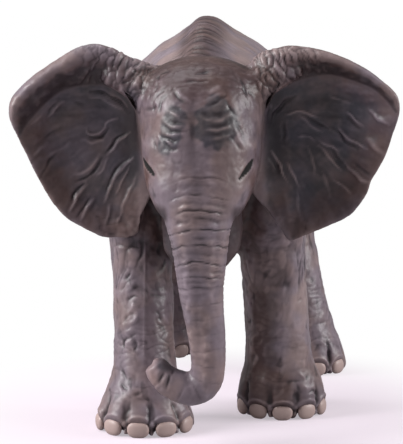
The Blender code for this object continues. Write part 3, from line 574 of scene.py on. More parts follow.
@dataclass
class SkinBuilder:
    """Joins the solids and the finer ears into one fine skin, before any wrinkle is cut."""

    voxel: float = 0.275
    seam_growth: float = 0.35
    core_voxel: float = 1.0
    core_inset: float = 1.5
    even_rounds: int = 60
    swells: tuple[Swell, ...] = (
        Swell((-7.6, -41.3, 15.6), (-4.2, -41.0, 12.6), (0.9, 1.6), 1.3),
        Swell((-8.3, -41.4, 12.9), (-6.2, -41.3, 13.8), (1.2, 1.6), 1.3),
        Swell((-7.1, -41.0, 13.9), (-4.9, -40.9, 12.3), (1.6, 1.8), 1.1),
        Swell((-8.6, -32.0, 62.6), (-16.0, -30.2, 65.6), (3.4, 2.2)), Swell((-10.4, -31.2, 62.0), (-9.8, -30.4, 50.0), (2.2, 1.2)),
        Swell((8.6, -32.0, 63.4), (16.0, -30.4, 67.0), (3.4, 2.2)), Swell((10.2, -31.2, 62.0), (9.4, -30.4, 50.0), (2.0, 1.2)),
    )

    def solid_copy(self, node: str) -> bpy.types.Mesh:
        """Grown copy of a solid, in millimetres.

        Args:
            node: Name of the solid.

        Returns:
            Its closed mesh, grown enough to close the gaps to its neighbours.
        """
        shape = bmesh.new()
        shape.from_mesh(frame["nodes"][node].data)
        bmesh.ops.remove_doubles(shape, verts=shape.verts, dist=1e-6)
        shape.normal_update()
        for vertex in shape.verts:
            vertex.co = vertex.co / MM + vertex.normal * self.seam_growth
        mesh = bpy.data.meshes.new(f"{node}_copy")
        shape.to_mesh(mesh)
        shape.free()
        return mesh

    def ear_copy(self, ear: Ear) -> bpy.types.Mesh:
        """Closed blade of an ear, in millimetres."""
        front, back, faces = ear.blade()
        count = len(front)
        rows, columns = 150, 44
        index = np.arange(count).reshape(rows, columns)
        ring = np.concatenate([index[0, :-1], index[:-1, -1], index[-1, :0:-1], index[:0:-1, 0]])
        nxt = np.roll(ring, -1)
        side = np.stack([ring, nxt, nxt + count, ring + count], axis=-1)
        every = np.concatenate([faces, faces[:, ::-1] + count, side[:, ::-1]])
        mesh = bpy.data.meshes.new(f"{ear.piece.value}_blade")
        mesh.from_pydata(np.concatenate([front, back]).tolist(), [], every.tolist())
        shape = bmesh.new()
        shape.from_mesh(mesh)
        bmesh.ops.recalc_face_normals(shape, faces=shape.faces)
        shape.to_mesh(mesh)
        shape.free()
        return mesh

    def remeshed(self, mesh: bpy.types.Mesh, voxel: float) -> bpy.types.Mesh:
        """Even four-sided mesh round everything in another, which is used up.

        Args:
            mesh: Closed meshes that may overlap.
            voxel: Size of a face, in millimetres.

        Returns:
            The new mesh.
        """
        block = bpy.data.objects.new("joined", mesh)
        bpy.context.scene.collection.objects.link(block)
        remesh = block.modifiers.new("skin", "REMESH")
        remesh.mode = "VOXEL"
        remesh.voxel_size = voxel
        even = bpy.data.meshes.new_from_object(block.evaluated_get(bpy.context.evaluated_depsgraph_get()))
        bpy.data.objects.remove(block, do_unlink=True)
        bpy.data.meshes.remove(mesh)
        return even

    def core(self) -> bpy.types.Mesh:
        """Filling for the hollow torso, so that only its outside is left in the skin."""
        shells = bmesh.new()
        for node in (Piece.TORSO_LEFT, Piece.TORSO_RIGHT):
            mesh = self.solid_copy(node.value)
            shells.from_mesh(mesh)
            bpy.data.meshes.remove(mesh)
        mesh = bpy.data.meshes.new("shells")
        shells.to_mesh(mesh)
        shells.free()
        even = self.remeshed(mesh, self.core_voxel)
        skin = self.outer_part(even)
        bpy.data.meshes.remove(even)
        points = skin.points - skin.normals() * self.core_inset
        filling = bpy.data.meshes.new("core")
        filling.from_pydata(points.tolist(), [], skin.faces.tolist())
        return filling

    def build(self) -> Skin:
        """Join, remesh and even out the skin.

        Returns:
            The plain skin.
        """
        joined = bmesh.new()
        ears = {ear.piece.value: ear for ear in (LEFT_EAR, RIGHT_EAR)}
        meshes = [self.ear_copy(ears[piece.value]) if piece.value in ears else self.solid_copy(piece.value)
                  for piece in Piece] + [self.core()]
        for mesh in meshes:
            joined.from_mesh(mesh)
            bpy.data.meshes.remove(mesh)
        ball = self.ball()
        for swell in self.swells:
            swell.add_to(joined, ball)
        bpy.data.meshes.remove(ball)
        mesh = bpy.data.meshes.new("joined")
        joined.to_mesh(mesh)
        joined.free()
        fine = self.remeshed(mesh, self.voxel)
        skin = self.outer_part(fine)
        bpy.data.meshes.remove(fine)
        return skin

    @staticmethod
    def ball() -> bpy.types.Mesh:
        """Ball of radius 1."""
        shape = bmesh.new()
        bmesh.ops.create_uvsphere(shape, u_segments=20, v_segments=12, radius=1.0)
        mesh = bpy.data.meshes.new("ball")
        shape.to_mesh(mesh)
        shape.free()
        return mesh

    @staticmethod
    def outer_part(mesh: bpy.types.Mesh) -> Skin:
        """The largest connected part of a four-sided mesh, as arrays."""
        points = np.empty(len(mesh.vertices) * 3)
        mesh.vertices.foreach_get("co", points)
        points = points.reshape(-1, 3)
        faces = np.empty(len(mesh.loops), dtype=np.int64)
        mesh.loops.foreach_get("vertex_index", faces)
        faces = faces.reshape(-1, 4)
        edges = np.empty(len(mesh.edges) * 2, dtype=np.int64)
        mesh.edges.foreach_get("vertices", edges)
        edges = edges.reshape(-1, 2)
        label = np.arange(len(points))
        while True:
            low = np.minimum(label[edges[:, 0]], label[edges[:, 1]])
            fresh = label.copy()
            np.minimum.at(fresh, edges[:, 0], low)
            np.minimum.at(fresh, edges[:, 1], low)
            fresh = fresh[fresh]
            if (fresh == label).all():
                break
            label = fresh
        keep = label == np.bincount(label).argmax()
        renumber = np.cumsum(keep) - 1
        return Skin(points[keep], renumber[faces[keep[faces[:, 0]]]], renumber[edges[keep[edges[:, 0]]]])


@dataclass
class Owners:
    """Which solid each point of the skin belongs to."""

    skin: Skin
    owner: Array = field(init=False)

    def __post_init__(self) -> None:
        """Look for the nearest solid of each point."""
        corners: list[Vector] = []
        faces: list[tuple[int, ...]] = []
        names: list[int] = []
        for number, piece in enumerate(Piece):
            mesh = frame["nodes"][piece.value].data
            start = len(corners)
            corners += [vertex.co / MM for vertex in mesh.vertices]
            for polygon in mesh.polygons:
                faces.append(tuple(start + index for index in polygon.vertices))
                names.append(number)
        tree = BVHTree.FromPolygons(corners, faces)
        self.owner = np.array([names[tree.find_nearest(point)[2]] for point in self.skin.points.tolist()])

    def mask(self, *pieces: Piece, soft: int = 10) -> Array:
        """1 on the pieces named and 0 elsewhere, with a soft border."""
        order = list(Piece)
        chosen = np.isin(self.owner, [order.index(piece) for piece in pieces]).astype(float)
        return self.skin.smoothed(chosen, soft)


@dataclass
class Sculptor:
    """Cuts the wrinkles into the plain skin and leaves the paint masks."""

    skin: Skin
    owners: Owners
    rise: Array = field(init=False)
    dark: Array = field(init=False)
    light: Array = field(init=False)
    plain: Array = field(init=False)
    normals: Array = field(init=False)
    trunk_path: Points2 = ((0.0, 53.0), (0.0, 46.0), (0.0, 41.0), (0.2, 38.0), (0.3, 34.0), (0.45, 28.6), (1.0, 23.2),
                           (1.6, 17.8), (1.5, 13.6), (0.5, 11.1), (-1.4, 10.3), (-3.4, 11.0), (-5.2, 12.0),
                           (-7.2, 13.8))
    ring_runs: tuple[float, ...] = (0.0, 3.7, 6.6, 9.3, 12.6, 15.5, 18.8, 21.4, 23.3, 26.3, 29.1, 32.0, 34.8, 37.6,
                                    40.4, 43.2, 46.0, 50.0, 60.0)

    def __post_init__(self) -> None:
        """Keep the plain shape to measure from."""
        self.rise = np.zeros(len(self.skin.points))
        self.dark = np.zeros(len(self.skin.points))
        self.light = np.zeros(len(self.skin.points))
        self.restart()

    def cut(self, zone: Array, height: Array, tint: float = 1.0) -> None:
        """Raise some points, and remember where grooves are to be painted darker and folds lighter.

        Args:
            zone: Which points.
            height: Height of each of them, in millimetres.
            tint: Strength of the paint.
        """
        self.rise[zone] += height
        self.dark[zone] += tint * np.clip(-height / 0.3, 0.0, 1.0)
        self.light[zone] += tint * np.clip(height / 0.3, 0.0, 1.0)

    def even_out(self, builder: SkinBuilder) -> None:
        """Round off the solids' facets and seams, less where the form is thin."""
        skin, owners = self.skin, self.owners
        thin = step(np.abs(skin.points[:, 0]) + np.maximum(52.0 - skin.points[:, 2], 0.0), 11.5, 16.0)
        weight = np.ones(len(skin.points))
        weight -= 0.92 * thin * owners.mask(Piece.EAR_LEFT, Piece.EAR_RIGHT, soft=8)
        for pieces, share in (((Piece.TRUNK,), 0.4), ((Piece.TAIL,), 0.12)):
            weight -= (1.0 - share) * owners.mask(*pieces, soft=8)
        weight = np.clip(weight, 0.05, 1.0)
        before = skin.points
        skin.points = skin.smoothed(skin.points, builder.even_rounds, weight)
        ridge = owners.mask(Piece.TORSO_LEFT, Piece.TORSO_RIGHT) * step(skin.points[:, 2], 65.0, 69.0)
        skin.points = skin.smoothed(skin.points, 110, ridge * step(np.abs(skin.points[:, 0] + 0.9), 8.0, 4.0))
        grown = builder.seam_growth * (1.0 - owners.mask(Piece.EAR_LEFT, Piece.EAR_RIGHT, soft=4))
        slim = owners.mask(Piece.TRUNK, Piece.TAIL, *(foot.piece for foot in FEET), soft=10)
        back = owners.mask(Piece.TORSO_LEFT, Piece.TORSO_RIGHT) * step(skin.points[:, 2], 71.0, 73.4)
        skin.points = skin.points + skin.normals() * (0.19 * slim + 0.6 * back - grown)[:, None]
        LOG.info("evened out, at most %.2f mm", float(np.linalg.norm(skin.points - before, axis=1).max()))
        self.restart()

    def restart(self) -> None:
        """Take the skin as it is for the shape to measure from."""
        self.plain = self.skin.points.copy()
        self.normals = self.skin.normals()

    def settle(self) -> None:
        """Move the skin out by the rise gathered so far."""
        self.skin.points = self.plain + self.normals * self.rise[:, None]
        self.rise = np.zeros(len(self.skin.points))
        self.restart()

    def front(self, low: float = 0.15, high: float = 0.5) -> Array:
        """1 where the skin faces forward."""
        return step(-self.normals[:, 1], low, high)

    def side_view(self) -> Array:
        """(x, z) of every point."""
        return self.plain[:, [0, 2]]

    def apply(self, chosen: Array, field_of: Callable[[Array], Array], weight: Array | float = 1.0) -> None:
        """Add a field's height on the chosen points only."""
        if chosen.any():
            height = field_of(self.plain[chosen])
            self.rise[chosen] += height * (weight[chosen] if isinstance(weight, np.ndarray) else weight)

    # Broad forms

    def broad_forms(self) -> None:
        """Brow, temples, cheeks, ear rolls and dishes."""
        x, _, z = self.plain.T
        head = self.owners.mask(Piece.HEAD)
        front = self.front()
        side = np.abs(x)
        self.rise += head * front * (
            0.4 * bell(side - 3.6, 2.4) * bell(z - 58.5, 4.2) + 0.5 * bell(side - 9.2, 1.6) * bell(z - 53.8, 1.6)
            - 0.4 * bell(side - 8.6, 1.6) * bell(z - 58.2, 2.4) - 0.2 * bell(x + 0.8, 1.0) * band(z, 52.0, 62.0, 4.0)
            + 0.35 * bell(side - 7.6, 2.0) * bell(z - 46.8, 2.0) - 0.3 * bell(side - 9.6, 1.3) * bell(z - 48.6, 1.2))
        torso = self.owners.mask(Piece.TORSO_LEFT, Piece.TORSO_RIGHT) * step(z, 61.0, 66.0)
        self.rise -= torso * (0.6 * band(-x, 5.0, 16.0, 3.0) + 0.3 * bell(x - 5.2, 2.6))
        for ear in (LEFT_EAR, RIGHT_EAR):
            self.ear_forms(ear)

    def ear_zone(self, ear: Ear) -> Array:
        """Points of an ear and of the skin round its root."""
        x, y, z = self.plain.T
        return (ear.side * x > 8.6) & (y < -25.5) & (z > 33.5)

    def ear_fields(self, ear: Ear, chosen: Array) -> tuple[Array, "EarFields"]:
        """(x, z) of the chosen points, and where they lie on the ear."""
        places = self.plain[chosen][:, [0, 2]]
        return places, ear.fields(places)

    def ear_forms(self, ear: Ear) -> None:
        """Dished middle of one ear, and a little unevenness along its roll."""
        chosen = self.ear_zone(ear)
        places, fields = self.ear_fields(ear, chosen)
        spot = self.plain[chosen]
        front = self.front()[chosen] * step(ear.side * spot[:, 0], 10.6, 14.0)
        flat = np.column_stack([places, np.zeros(len(places))])
        dish = ear.dish * step(-fields.depth, 0.0, 4.0) * step(fields.rim_gap, 0.6, 6.5)
        self.rise[chosen] += front * (0.35 * step(fields.rim_gap, 0.4, 3.0) * noise(flat, 9.0, 19) - dish)
        self.rise[chosen] += front * 0.3 * fields.roll() * noise(spot, 5.0, 17)

    # Wrinkles

    def trunk(self) -> None:
        """Creases across the trunk, finer ones between them, two broken ridges down its front with painted highlights
        on them and painted shade between them, and the tip's folds.
        """
        x, y, z = self.plain.T
        zone = (y < -33.5) & (z < 53.5) & (z > 6.0) & (
            (self.owners.mask(Piece.TRUNK, soft=6) > 0.3) | ((z > 40.0) & (self.owners.mask(Piece.HEAD, soft=2) > 0.5)))
        path = spline(self.trunk_path, 80)
        spot = self.plain[zone]
        _, run = line_distance(spot[:, [0, 2]], path)
        droop = 0.05 * (spot[:, 0] - 0.4) ** 2 * step(spot[:, 2], 24.0, 34.0)
        run = run + 0.35 * noise(spot, 4.0, 3) + 0.2 * noise(spot, 1.6, 5) - droop
        phase = np.interp(run, self.ring_runs, np.arange(len(self.ring_runs)))
        width = np.interp(run, self.ring_runs[1:], np.diff(self.ring_runs))
        near = (phase - np.round(phase)) * width
        half = (2.0 * phase - np.round(2.0 * phase)) * width / 2
        fine = (5.0 * phase - np.round(5.0 * phase)) * width / 5
        broken = np.clip(0.5 + 0.9 * noise(spot, 2.2, 9), 0.0, 1.2)
        ragged = np.clip(0.7 + 0.7 * noise(spot, 3.0, 29), 0.15, 1.2)
        fade = step(run, 0.5, 7.0) * (0.22 + 0.78 * step(run, 30.0, 16.0)) * (1.0 - 0.45 * bell(run - 6.5, 2.6))
        front = step(-self.normals[zone][:, 1], 0.0, 0.5)
        wide = step(np.abs(spot[:, 0] - 0.2) + 1.2 * noise(spot, 3.0, 39), 6.2, 2.6)
        share = fade * np.maximum(step(spot[:, 2], 43.0, 38.0), wide * front)
        across = (spot[:, 0] - 0.1) / np.interp(spot[:, 2], (14.0, 42.0, 50.0), (2.9, 5.6, 5.6))
        ridges = bell(across - 0.42, 0.16) + bell(across + 0.45, 0.16)
        lips = bell(np.abs(near) - 0.5, 0.3) * (0.35 + 0.65 * ridges)
        self.cut(zone, share * (0.13 * lips * ragged - 0.13 * ragged * bell(near, 0.26)), 0.9)
        finer = (0.06 + 0.09 * np.abs(across)) * broken * bell(fine, 0.13)
        self.cut(zone, share * (-0.16 * broken * bell(half, 0.18) - finer), 1.0)
        # The two ridges are painted lighter, partly the figure's dry-brushing and partly painted highlights; a stripe
        # of painted shade runs down the middle between them.
        bars = np.clip(0.4 + 1.5 * noise(spot * (0.5, 1.0, 1.2), 1.3, 49), 0.0, 1.4)
        lower = step(run, 40.0, 32.0) * step(run, 1.0, 5.0)
        self.cut(zone, front * (0.12 + 0.04 * lower) * step(run, -1.0, 2.0) * ridges * bars, 1.6)
        self.dark[zone] += 0.35 * front * bell(across + 0.03, 0.2) * step(run, -2.0, 2.0)
        self.rise[zone] -= front * lower * 0.12 * bell(across + 0.02, 0.2)
        self.rise[zone] += 0.09 * noise(spot, 2.6, 57) * front
        tip = (y < -38.5) & (x < -3.5) & (z < 18.5) & (z > 9.0)
        self.cut(tip, 0.4 * strokes_field(TIP_STROKES, self.side_view()[tip]) * self.front(0.1, 0.4)[tip], 1.4)

    def face(self) -> None:
        """Measured wrinkles of forehead, temples and cheeks, eyes and lids."""
        x, y, z = self.plain.T
        zone = (y < -27.0) & (z > 41.0) & (np.abs(x) < 12.6) & (self.normals[:, 1] < -0.05)
        places = self.side_view()[zone]
        spot = self.plain[zone]
        front = step(-self.normals[zone][:, 1], 0.05, 0.3)
        bent = places + 0.3 * np.stack([noise(spot, 1.8, 71), noise(spot, 1.8, 73)], axis=1)
        uneven = np.clip(0.75 + 0.7 * noise(spot, 1.5, 75), 0.2, 1.4)
        self.cut(zone, 0.5 * strokes_field(FACE_STROKES, bent, 0.85) * front * uneven, 2.0)
        for eye in (RIGHT_EYE, LEFT_EYE):
            gap, along = line_distance(places, spline(eye.points, 16))
            lids = bell(along - 1.7, 1.9)
            self.rise[zone] += front * lids * 0.07 * bell(gap - 0.7, 0.3)
            self.rise[zone] += eye.field(places) * front
        cells = crackle(spot + 0.3 * noise(spot, 2.0, 41)[:, None], (2.6, 2.6, 1.7), 4)
        calm = 0.35 + 0.65 * step(noise(spot, 7.0, 13), -0.2, 0.5)
        self.rise[zone] += front * calm * (0.02 * np.minimum(cells * 2.5, 1.0) - 0.03 * bell(cells, 0.12))
        streaked = np.stack([spot[:, 0] + 0.5 * np.abs(spot[:, 2] - 56.0), spot[:, 1], spot[:, 2] * 0.45], axis=1)
        sides = step(np.abs(spot[:, 0]), 5.5, 8.0)
        upper = 0.3 + 0.7 * step(spot[:, 2], 57.0, 61.0)
        streaks = noise(streaked, 1.1, 45)
        self.cut(zone, front * sides * upper * 0.12 * streaks * step(np.abs(streaks), 0.1, 0.5), 1.1)
        self.rise[zone] += front * 0.025 * noise(spot, 1.4, 47)
        crown = step(spot[:, 2], 60.5, 64.0) * step(-self.normals[zone][:, 1], -0.1, 0.2)
        level = np.stack([spot[:, 0] * 0.3, spot[:, 1], spot[:, 2] - 0.02 * spot[:, 0] ** 2], axis=1)
        wavy = 1.0 - 2.6 * np.abs(noise(level + 0.4 * noise(spot, 3.0, 55)[:, None], 1.5, 53))
        self.cut(zone, -0.06 * crown * np.maximum(wavy, 0.0) ** 2, 1.2)

    def ears(self) -> None:
        """Measured folds on the ears, pebbled roots and soft rays."""
        for ear in (LEFT_EAR, RIGHT_EAR):
            chosen = self.ear_zone(ear)
            places, fields = self.ear_fields(ear, chosen)
            spot = self.plain[chosen]
            facing = -self.normals[chosen][:, 1]
            front = step(facing, 0.1, 0.45) * step(ear.side * spot[:, 0], 10.6, 12.6)
            ray = places - np.array([9.0 * ear.side, 60.0])
            angle = np.arctan2(ray[:, 1], ray[:, 0] * ear.side)
            reach = np.linalg.norm(ray, axis=1)
            polar = np.stack([angle * 7.0, reach * 0.12, np.zeros_like(reach)], axis=1)
            outward = step(reach, 5.0, 12.0)
            rays = noise(polar, 1.0, 21) + 0.6 * noise(polar * (2.6, 2.0, 1.0), 1.0, 23) * step(reach, 9.0, 16.0)
            inner = step(-fields.depth, 0.0, 1.2)
            bent = places + 0.3 * np.stack([noise(spot, 2.2, 25), noise(spot, 2.2, 27)], axis=1)
            uneven = np.clip(0.9 + 0.6 * noise(spot, 1.6, 29), 0.4, 1.5)
            self.cut(chosen, 0.7 * front * inner * uneven * strokes_field(ear.strokes, bent, 0.62), 1.3)
            self.cut(chosen, front * inner * outward * step(fields.rim_gap, 0.0, 1.5) * 0.12 * rays, 0.7)
            lean = np.radians(24.0) * -ear.side
            turned = np.stack([spot[:, 0] * np.cos(lean) - spot[:, 2] * np.sin(lean), spot[:, 1] * 0.3,
                               spot[:, 0] * np.sin(lean) + spot[:, 2] * np.cos(lean)], axis=1)
            turned += 0.35 * np.stack([noise(spot, 1.4, 43 + i) for i in range(3)], axis=1)
            cells = crackle(turned, (1.25, 3.0, 3.8), 8)
            pebbled = step(ear.side * spot[:, 0], 24.0, 18.0) * step(fields.depth, -0.2, 1.0) * step(facing, -0.6, 0.1)
            self.cut(chosen, pebbled * (0.36 * np.minimum(cells * 2.0, 1.0) ** 0.7 - 0.22), 1.1)
            roll = step(fields.depth, -0.2, 1.0) * (1.0 - pebbled) * step(facing, -0.3, 0.2)
            self.cut(chosen, roll * 0.12 * (noise(spot, 1.8, 51) + noise(polar * (2.0, 1.0, 1.0), 1.0, 61)), 0.6)
            back = step(-facing, 0.1, 0.5) * step(ear.side * spot[:, 0], 12.0, 15.0)
            self.rise[chosen] += back * (0.16 * noise(polar * (0.6, 1.0, 1.0), 1.0, 71, 2))

    def legs(self) -> None:
        """Folds, knees, toes and cuticles of the legs."""
        x, y, z = self.plain.T
        for foot in FEET:
            mask = self.owners.mask(foot.piece, soft=14)
            zone = (mask > 0.02) | ((z > 24.0) & (z < 40.0) & (np.hypot(x - foot.top[0], y - foot.top[1]) < 13.0))
            spot = self.plain[zone]
            warp = spot + np.stack([noise(spot, 4.0, 81 + i) for i in range(3)], axis=1) * 0.8
            high = step(spot[:, 2], 3.0, 7.0) * step(spot[:, 2], 46.0, 32.0)
            lean = 0.35 * (-1.0 if foot.middle[0] > 0 else 1.0)
            long = np.stack([warp[:, 0] + lean * warp[:, 2], warp[:, 1], warp[:, 2] * 0.42], axis=1)
            level = np.stack([warp[:, 0] * 0.35, warp[:, 1] * 0.35, warp[:, 2]], axis=1)
            ringed = noise(spot, 8.0, 90 + foot.seed)
            lumps = noise(long, 1.9, 85 + foot.seed)
            self.rise[zone] += high * 0.17 * noise(spot, 4.5, 83 + foot.seed)
            self.rise[zone] += foot.bulge * mask[zone] * bell(spot[:, 2] - 6.4, 2.8)
            self.cut(zone, high * (0.11 * lumps + 0.05 * noise(long, 0.9, 87 + foot.seed)), 0.7)
            folds = np.maximum(1.0 - 2.6 * np.abs(noise(level, 1.9, 93 + foot.seed)), 0.0) ** 2
            self.cut(zone, -high * 0.1 * folds * step(ringed, -0.1, 0.4), 0.8)
            knee = bell(spot[:, 2] - 16.5, 3.4) + 0.8 * bell(spot[:, 2] - 7.6, 1.6)
            bends = np.maximum(1.0 - 2.4 * np.abs(noise(level, 1.3, 95 + foot.seed)), 0.0) ** 2
            self.cut(zone, -0.1 * knee * bends, 0.8)
            facing = step(-self.normals[zone][:, 1], 0.15, 0.5)
            bent = spot[:, [0, 2]] + 0.45 * np.stack([noise(spot, 1.6, 97), noise(spot, 1.6, 98)], axis=1)
            uneven = np.clip(0.8 + 0.8 * noise(spot, 1.2, 99), 0.1, 1.5)
            self.cut(zone, 0.52 * facing * uneven * strokes_field(foot.strokes, bent, 0.9), 1.5)
            marks = noise(long, 1.3, 105 + foot.seed)
            self.light[zone] += 0.7 * high * step(marks, 0.32, 0.6)
            self.dark[zone] += 0.8 * high * step(marks, -0.3, -0.58)
            for number in range(foot.nails):
                self.toe(foot, number, zone)

    def toe(self, foot: "Foot", number: int, zone: Array) -> None:
        """Lobe over one toenail, the bed and gap of the nail, and its cuticle."""
        spot = self.plain[zone]
        angle, centre = foot.nail(number)
        ray = spot[:, :2] - np.array(foot.middle)
        turn = np.arctan2(ray[:, 0], -ray[:, 1]) - angle
        turn = (turn + np.pi) % (2 * np.pi) - np.pi
        radius = float(np.hypot(*(np.array(centre[:2]) - foot.middle)))
        u = turn * radius / (foot.nail_width / 2)
        v = (spot[:, 2] - foot.nail_height * 0.46) / (foot.nail_height / 2)
        reach = np.hypot(u, np.where(v > 0, v, v * 0.5))
        above = step(v, -0.6, 0.3)
        wander = 0.16 * noise(spot, 2.0, 111) * step(spot[:, 2], 2.5, 5.5)
        widen = np.interp(spot[:, 2], (1.5, 4.0, 8.0), (0.2, 0.24, 0.18))
        gap = bell(np.abs(u + wander) - foot.gap_share, widen) * np.clip(0.8 + 0.7 * noise(spot, 1.4, 107), 0.15, 1.3)
        collar = np.clip(0.7 + 0.7 * noise(spot, 1.3, 109), 0.1, 1.2)
        self.rise[zone] += 0.34 * bell(u, 0.9) * band(spot[:, 2], 3.2, 4.2, 2.4)
        self.rise[zone] += 0.14 * bell(reach - 1.4, 0.16) * above * collar
        self.rise[zone] -= 0.35 * bell(reach - 1.14, 0.12) * above + 1.1 * step(reach, 1.15, 0.9)
        self.rise[zone] -= 0.38 * gap * step(spot[:, 2], 7.6, 3.6)
        self.dark[zone] += 1.2 * gap * step(spot[:, 2], 7.6, 4.2) + 0.9 * step(reach, 1.3, 1.1)
        self.light[zone] += 1.1 * bell(reach - 1.5, 0.12) * above * collar

    def torso(self) -> None:
        """Folds round back, flanks and belly, shorter over the spine."""
        mask = self.owners.mask(Piece.TORSO_LEFT, Piece.TORSO_RIGHT, soft=10)
        zone = mask > 0.02
        spot = self.plain[zone]
        warp = spot + np.stack([noise(spot, 7.0, 101 + i) for i in range(3)], axis=1) * 1.3
        spine = bell(spot[:, 0] + 0.9, 3.4) * step(self.normals[zone][:, 2], 0.3, 0.8)
        round_the_body = np.stack([warp[:, 0] * 0.22, warp[:, 1], warp[:, 2] * 0.22], axis=1)
        sharp = 1.0 - 2.4 * np.abs(noise(round_the_body, 3.4, 121))
        finer = 1.0 - 2.4 * np.abs(noise(round_the_body, 1.6, 123))
        arcs = np.stack([spot[:, 0] * 0.1, warp[:, 1] - 0.03 * spot[:, 0] ** 2, warp[:, 2] * 0.1], axis=1)
        cross = 1.0 - 2.2 * np.abs(noise(arcs, 3.4, 125))
        lively = 0.5 + 0.5 * step(noise(spot, 9.0, 111), -0.35, 0.35)
        share = mask[zone] * lively
        self.rise[zone] += share * (0.2 * noise(spot, 6.0, 113) + 0.16 * noise(round_the_body, 2.6, 115))
        self.cut(zone, -share * 0.2 * (1.0 - 0.7 * spine) * np.maximum(sharp, 0.0) ** 2, 0.7)
        self.cut(zone, -share * 0.13 * (1.0 - 0.7 * spine) * np.maximum(finer, 0.0) ** 2, 0.8)
        self.cut(zone, -mask[zone] * spine * 0.4 * np.maximum(cross, 0.0) ** 1.5, 0.9)

    def mould_line(self) -> None:
        """Thin raised line down the front of the forward leg, where the halves of its mould met."""
        x, y, z = self.plain.T
        line = bell(x + 10.6, 0.2) * band(z, 15.0, 33.0, 3.0) * self.front(0.3, 0.7) * (y < -18.0)
        self.rise += 0.14 * line

    def grain(self) -> None:
        """Fine unevenness all over."""
        self.rise += 0.035 * noise(self.plain, 0.8, 201) + 0.05 * noise(self.plain, 3.0, 203)

    # Paint

    def paint(self) -> None:
        """Leave the masks: crests and hollows of the relief, the painted zones, and painted shade and painted
        highlights.
        """
        skin = self.skin
        normals = skin.normals()
        # Crests get lighter paint and hollows darker: partly the figure's own dry-brushing and wash, partly painted
        # highlight and painted shade, laid on stronger than the real paint.
        near = ((skin.points - skin.smoothed(skin.points, 6)) * normals).sum(axis=1)
        wide = ((skin.points - skin.smoothed(skin.points, 32)) * normals).sum(axis=1)
        relief = near / 0.09 + wide / 0.3
        skin.masks[Paint.CREST] = np.clip(relief * 0.35 + 0.6 * self.light, 0.0, 1.0)
        skin.masks[Paint.HOLLOW] = np.clip(-relief * 0.3 + 0.7 * self.dark, 0.0, 1.0)
        x, y, z = self.plain.T
        front = self.front(0.05, 0.3)
        blot = noise(self.plain, 2.2, 301, 2)
        head = self.owners.mask(Piece.HEAD, Piece.TRUNK, soft=6)
        places = self.side_view()
        right = step(np.hypot((x + 4.6 - 0.28 * (z - 57.4)) / 2.0, (z - 57.4) / 4.6) + 0.3 * blot, 1.2, 0.85)
        left = step(np.hypot((x - 2.9) / 3.6, (z - 58.4) / 4.1) + 0.3 * blot, 1.2, 0.85)
        charcoal = head * front * 0.95 * np.maximum(right, left)
        # Painted shade: the sides of the head next to the ears are painted dark grey, where the head meets the ear.
        ear_junction_shade = step(np.abs(x) + 0.4 * blot, 10.4, 12.2) * band(z, 49.0, 62.0, 3.0)
        charcoal = np.maximum(charcoal, 0.8 * head * ear_junction_shade)
        umber = head * np.maximum(step(z + 1.2 * blot, 58.0, 64.5), 0.3 * step(z, 44.0, 50.0))
        shells = self.owners.mask(Piece.TORSO_LEFT, Piece.TORSO_RIGHT, soft=10)
        # Painted highlight: the upper back beside the spine is painted lighter, where the light falls on it.
        back_painted_light = 0.8 * shells * step(z, 56.0, 63.0) * step(np.abs(x + 0.9), 3.0, 6.0)
        skin.masks[Paint.CREST] = np.maximum(skin.masks[Paint.CREST], back_painted_light)
        umber = np.maximum(umber, 0.9 * shells * bell(x + 0.9, 3.6) * step(self.normals[:, 2], 0.3, 0.8))
        # Painted shade beneath the head, round the lower lip and beside the base of the trunk, laid in the hollow and
        # brown layers.
        beside = step(z, 44.5, 42.5) * step(np.abs(x - 0.2), 5.2, 6.4)
        under_lip = np.maximum(step(z, 48.0, 45.0) * step(y, -38.6, -36.4), beside)
        jaw_shade = self.owners.mask(Piece.HEAD, soft=6) * under_lip
        brow = self.owners.mask(Piece.HEAD, soft=6) * step(z + 1.5 * blot, 62.0, 67.0)
        patches = head * front * step(np.maximum(right, left), 0.3, 0.9)
        # Painted shade from here and from the front left leg, with darker paint on the top of the head and the forehead
        # patches, goes into the hollow layer.
        painted_shade_and_dark_paint = np.maximum.reduce([jaw_shade * (0.7 + 0.3 * step(x, 1.0, -1.0)), 0.4 * brow, 0.3 * patches])
        umber = np.maximum(umber, jaw_shade)
        # Painted shade on the inner sides of the legs, where less light reaches, in the brown layer.
        inner_leg_shade = np.zeros(len(x))
        for foot in FEET:
            away = np.abs(x) - np.interp(z, (0.0, 30.0), (abs(foot.middle[0]), abs(foot.top[0])))
            inner_leg_shade += self.owners.mask(foot.piece, soft=20) * step(away + 0.7 * blot, 0.6, -1.6) * foot.shade
        # Front of the front left leg: painted shade on its inner half and low down, where the head and trunk shade it,
        # and a painted highlight on its outer middle.
        forward = FEET[1]
        shaded = self.owners.mask(forward.piece, soft=20) * front
        painted_shade_and_dark_paint = np.maximum(painted_shade_and_dark_paint, 0.6 * shaded * band(x + 0.5 * blot, 9.6, 13.0, 1.4) * step(z, 8.0, 12.0))
        left_part = 0.35 + 0.65 * step(x + blot, 18.0, 14.5)
        painted_shade_and_dark_paint = np.maximum(painted_shade_and_dark_paint, 0.3 * shaded * step(z + 1.5 * blot, 14.0, 8.0) * left_part)
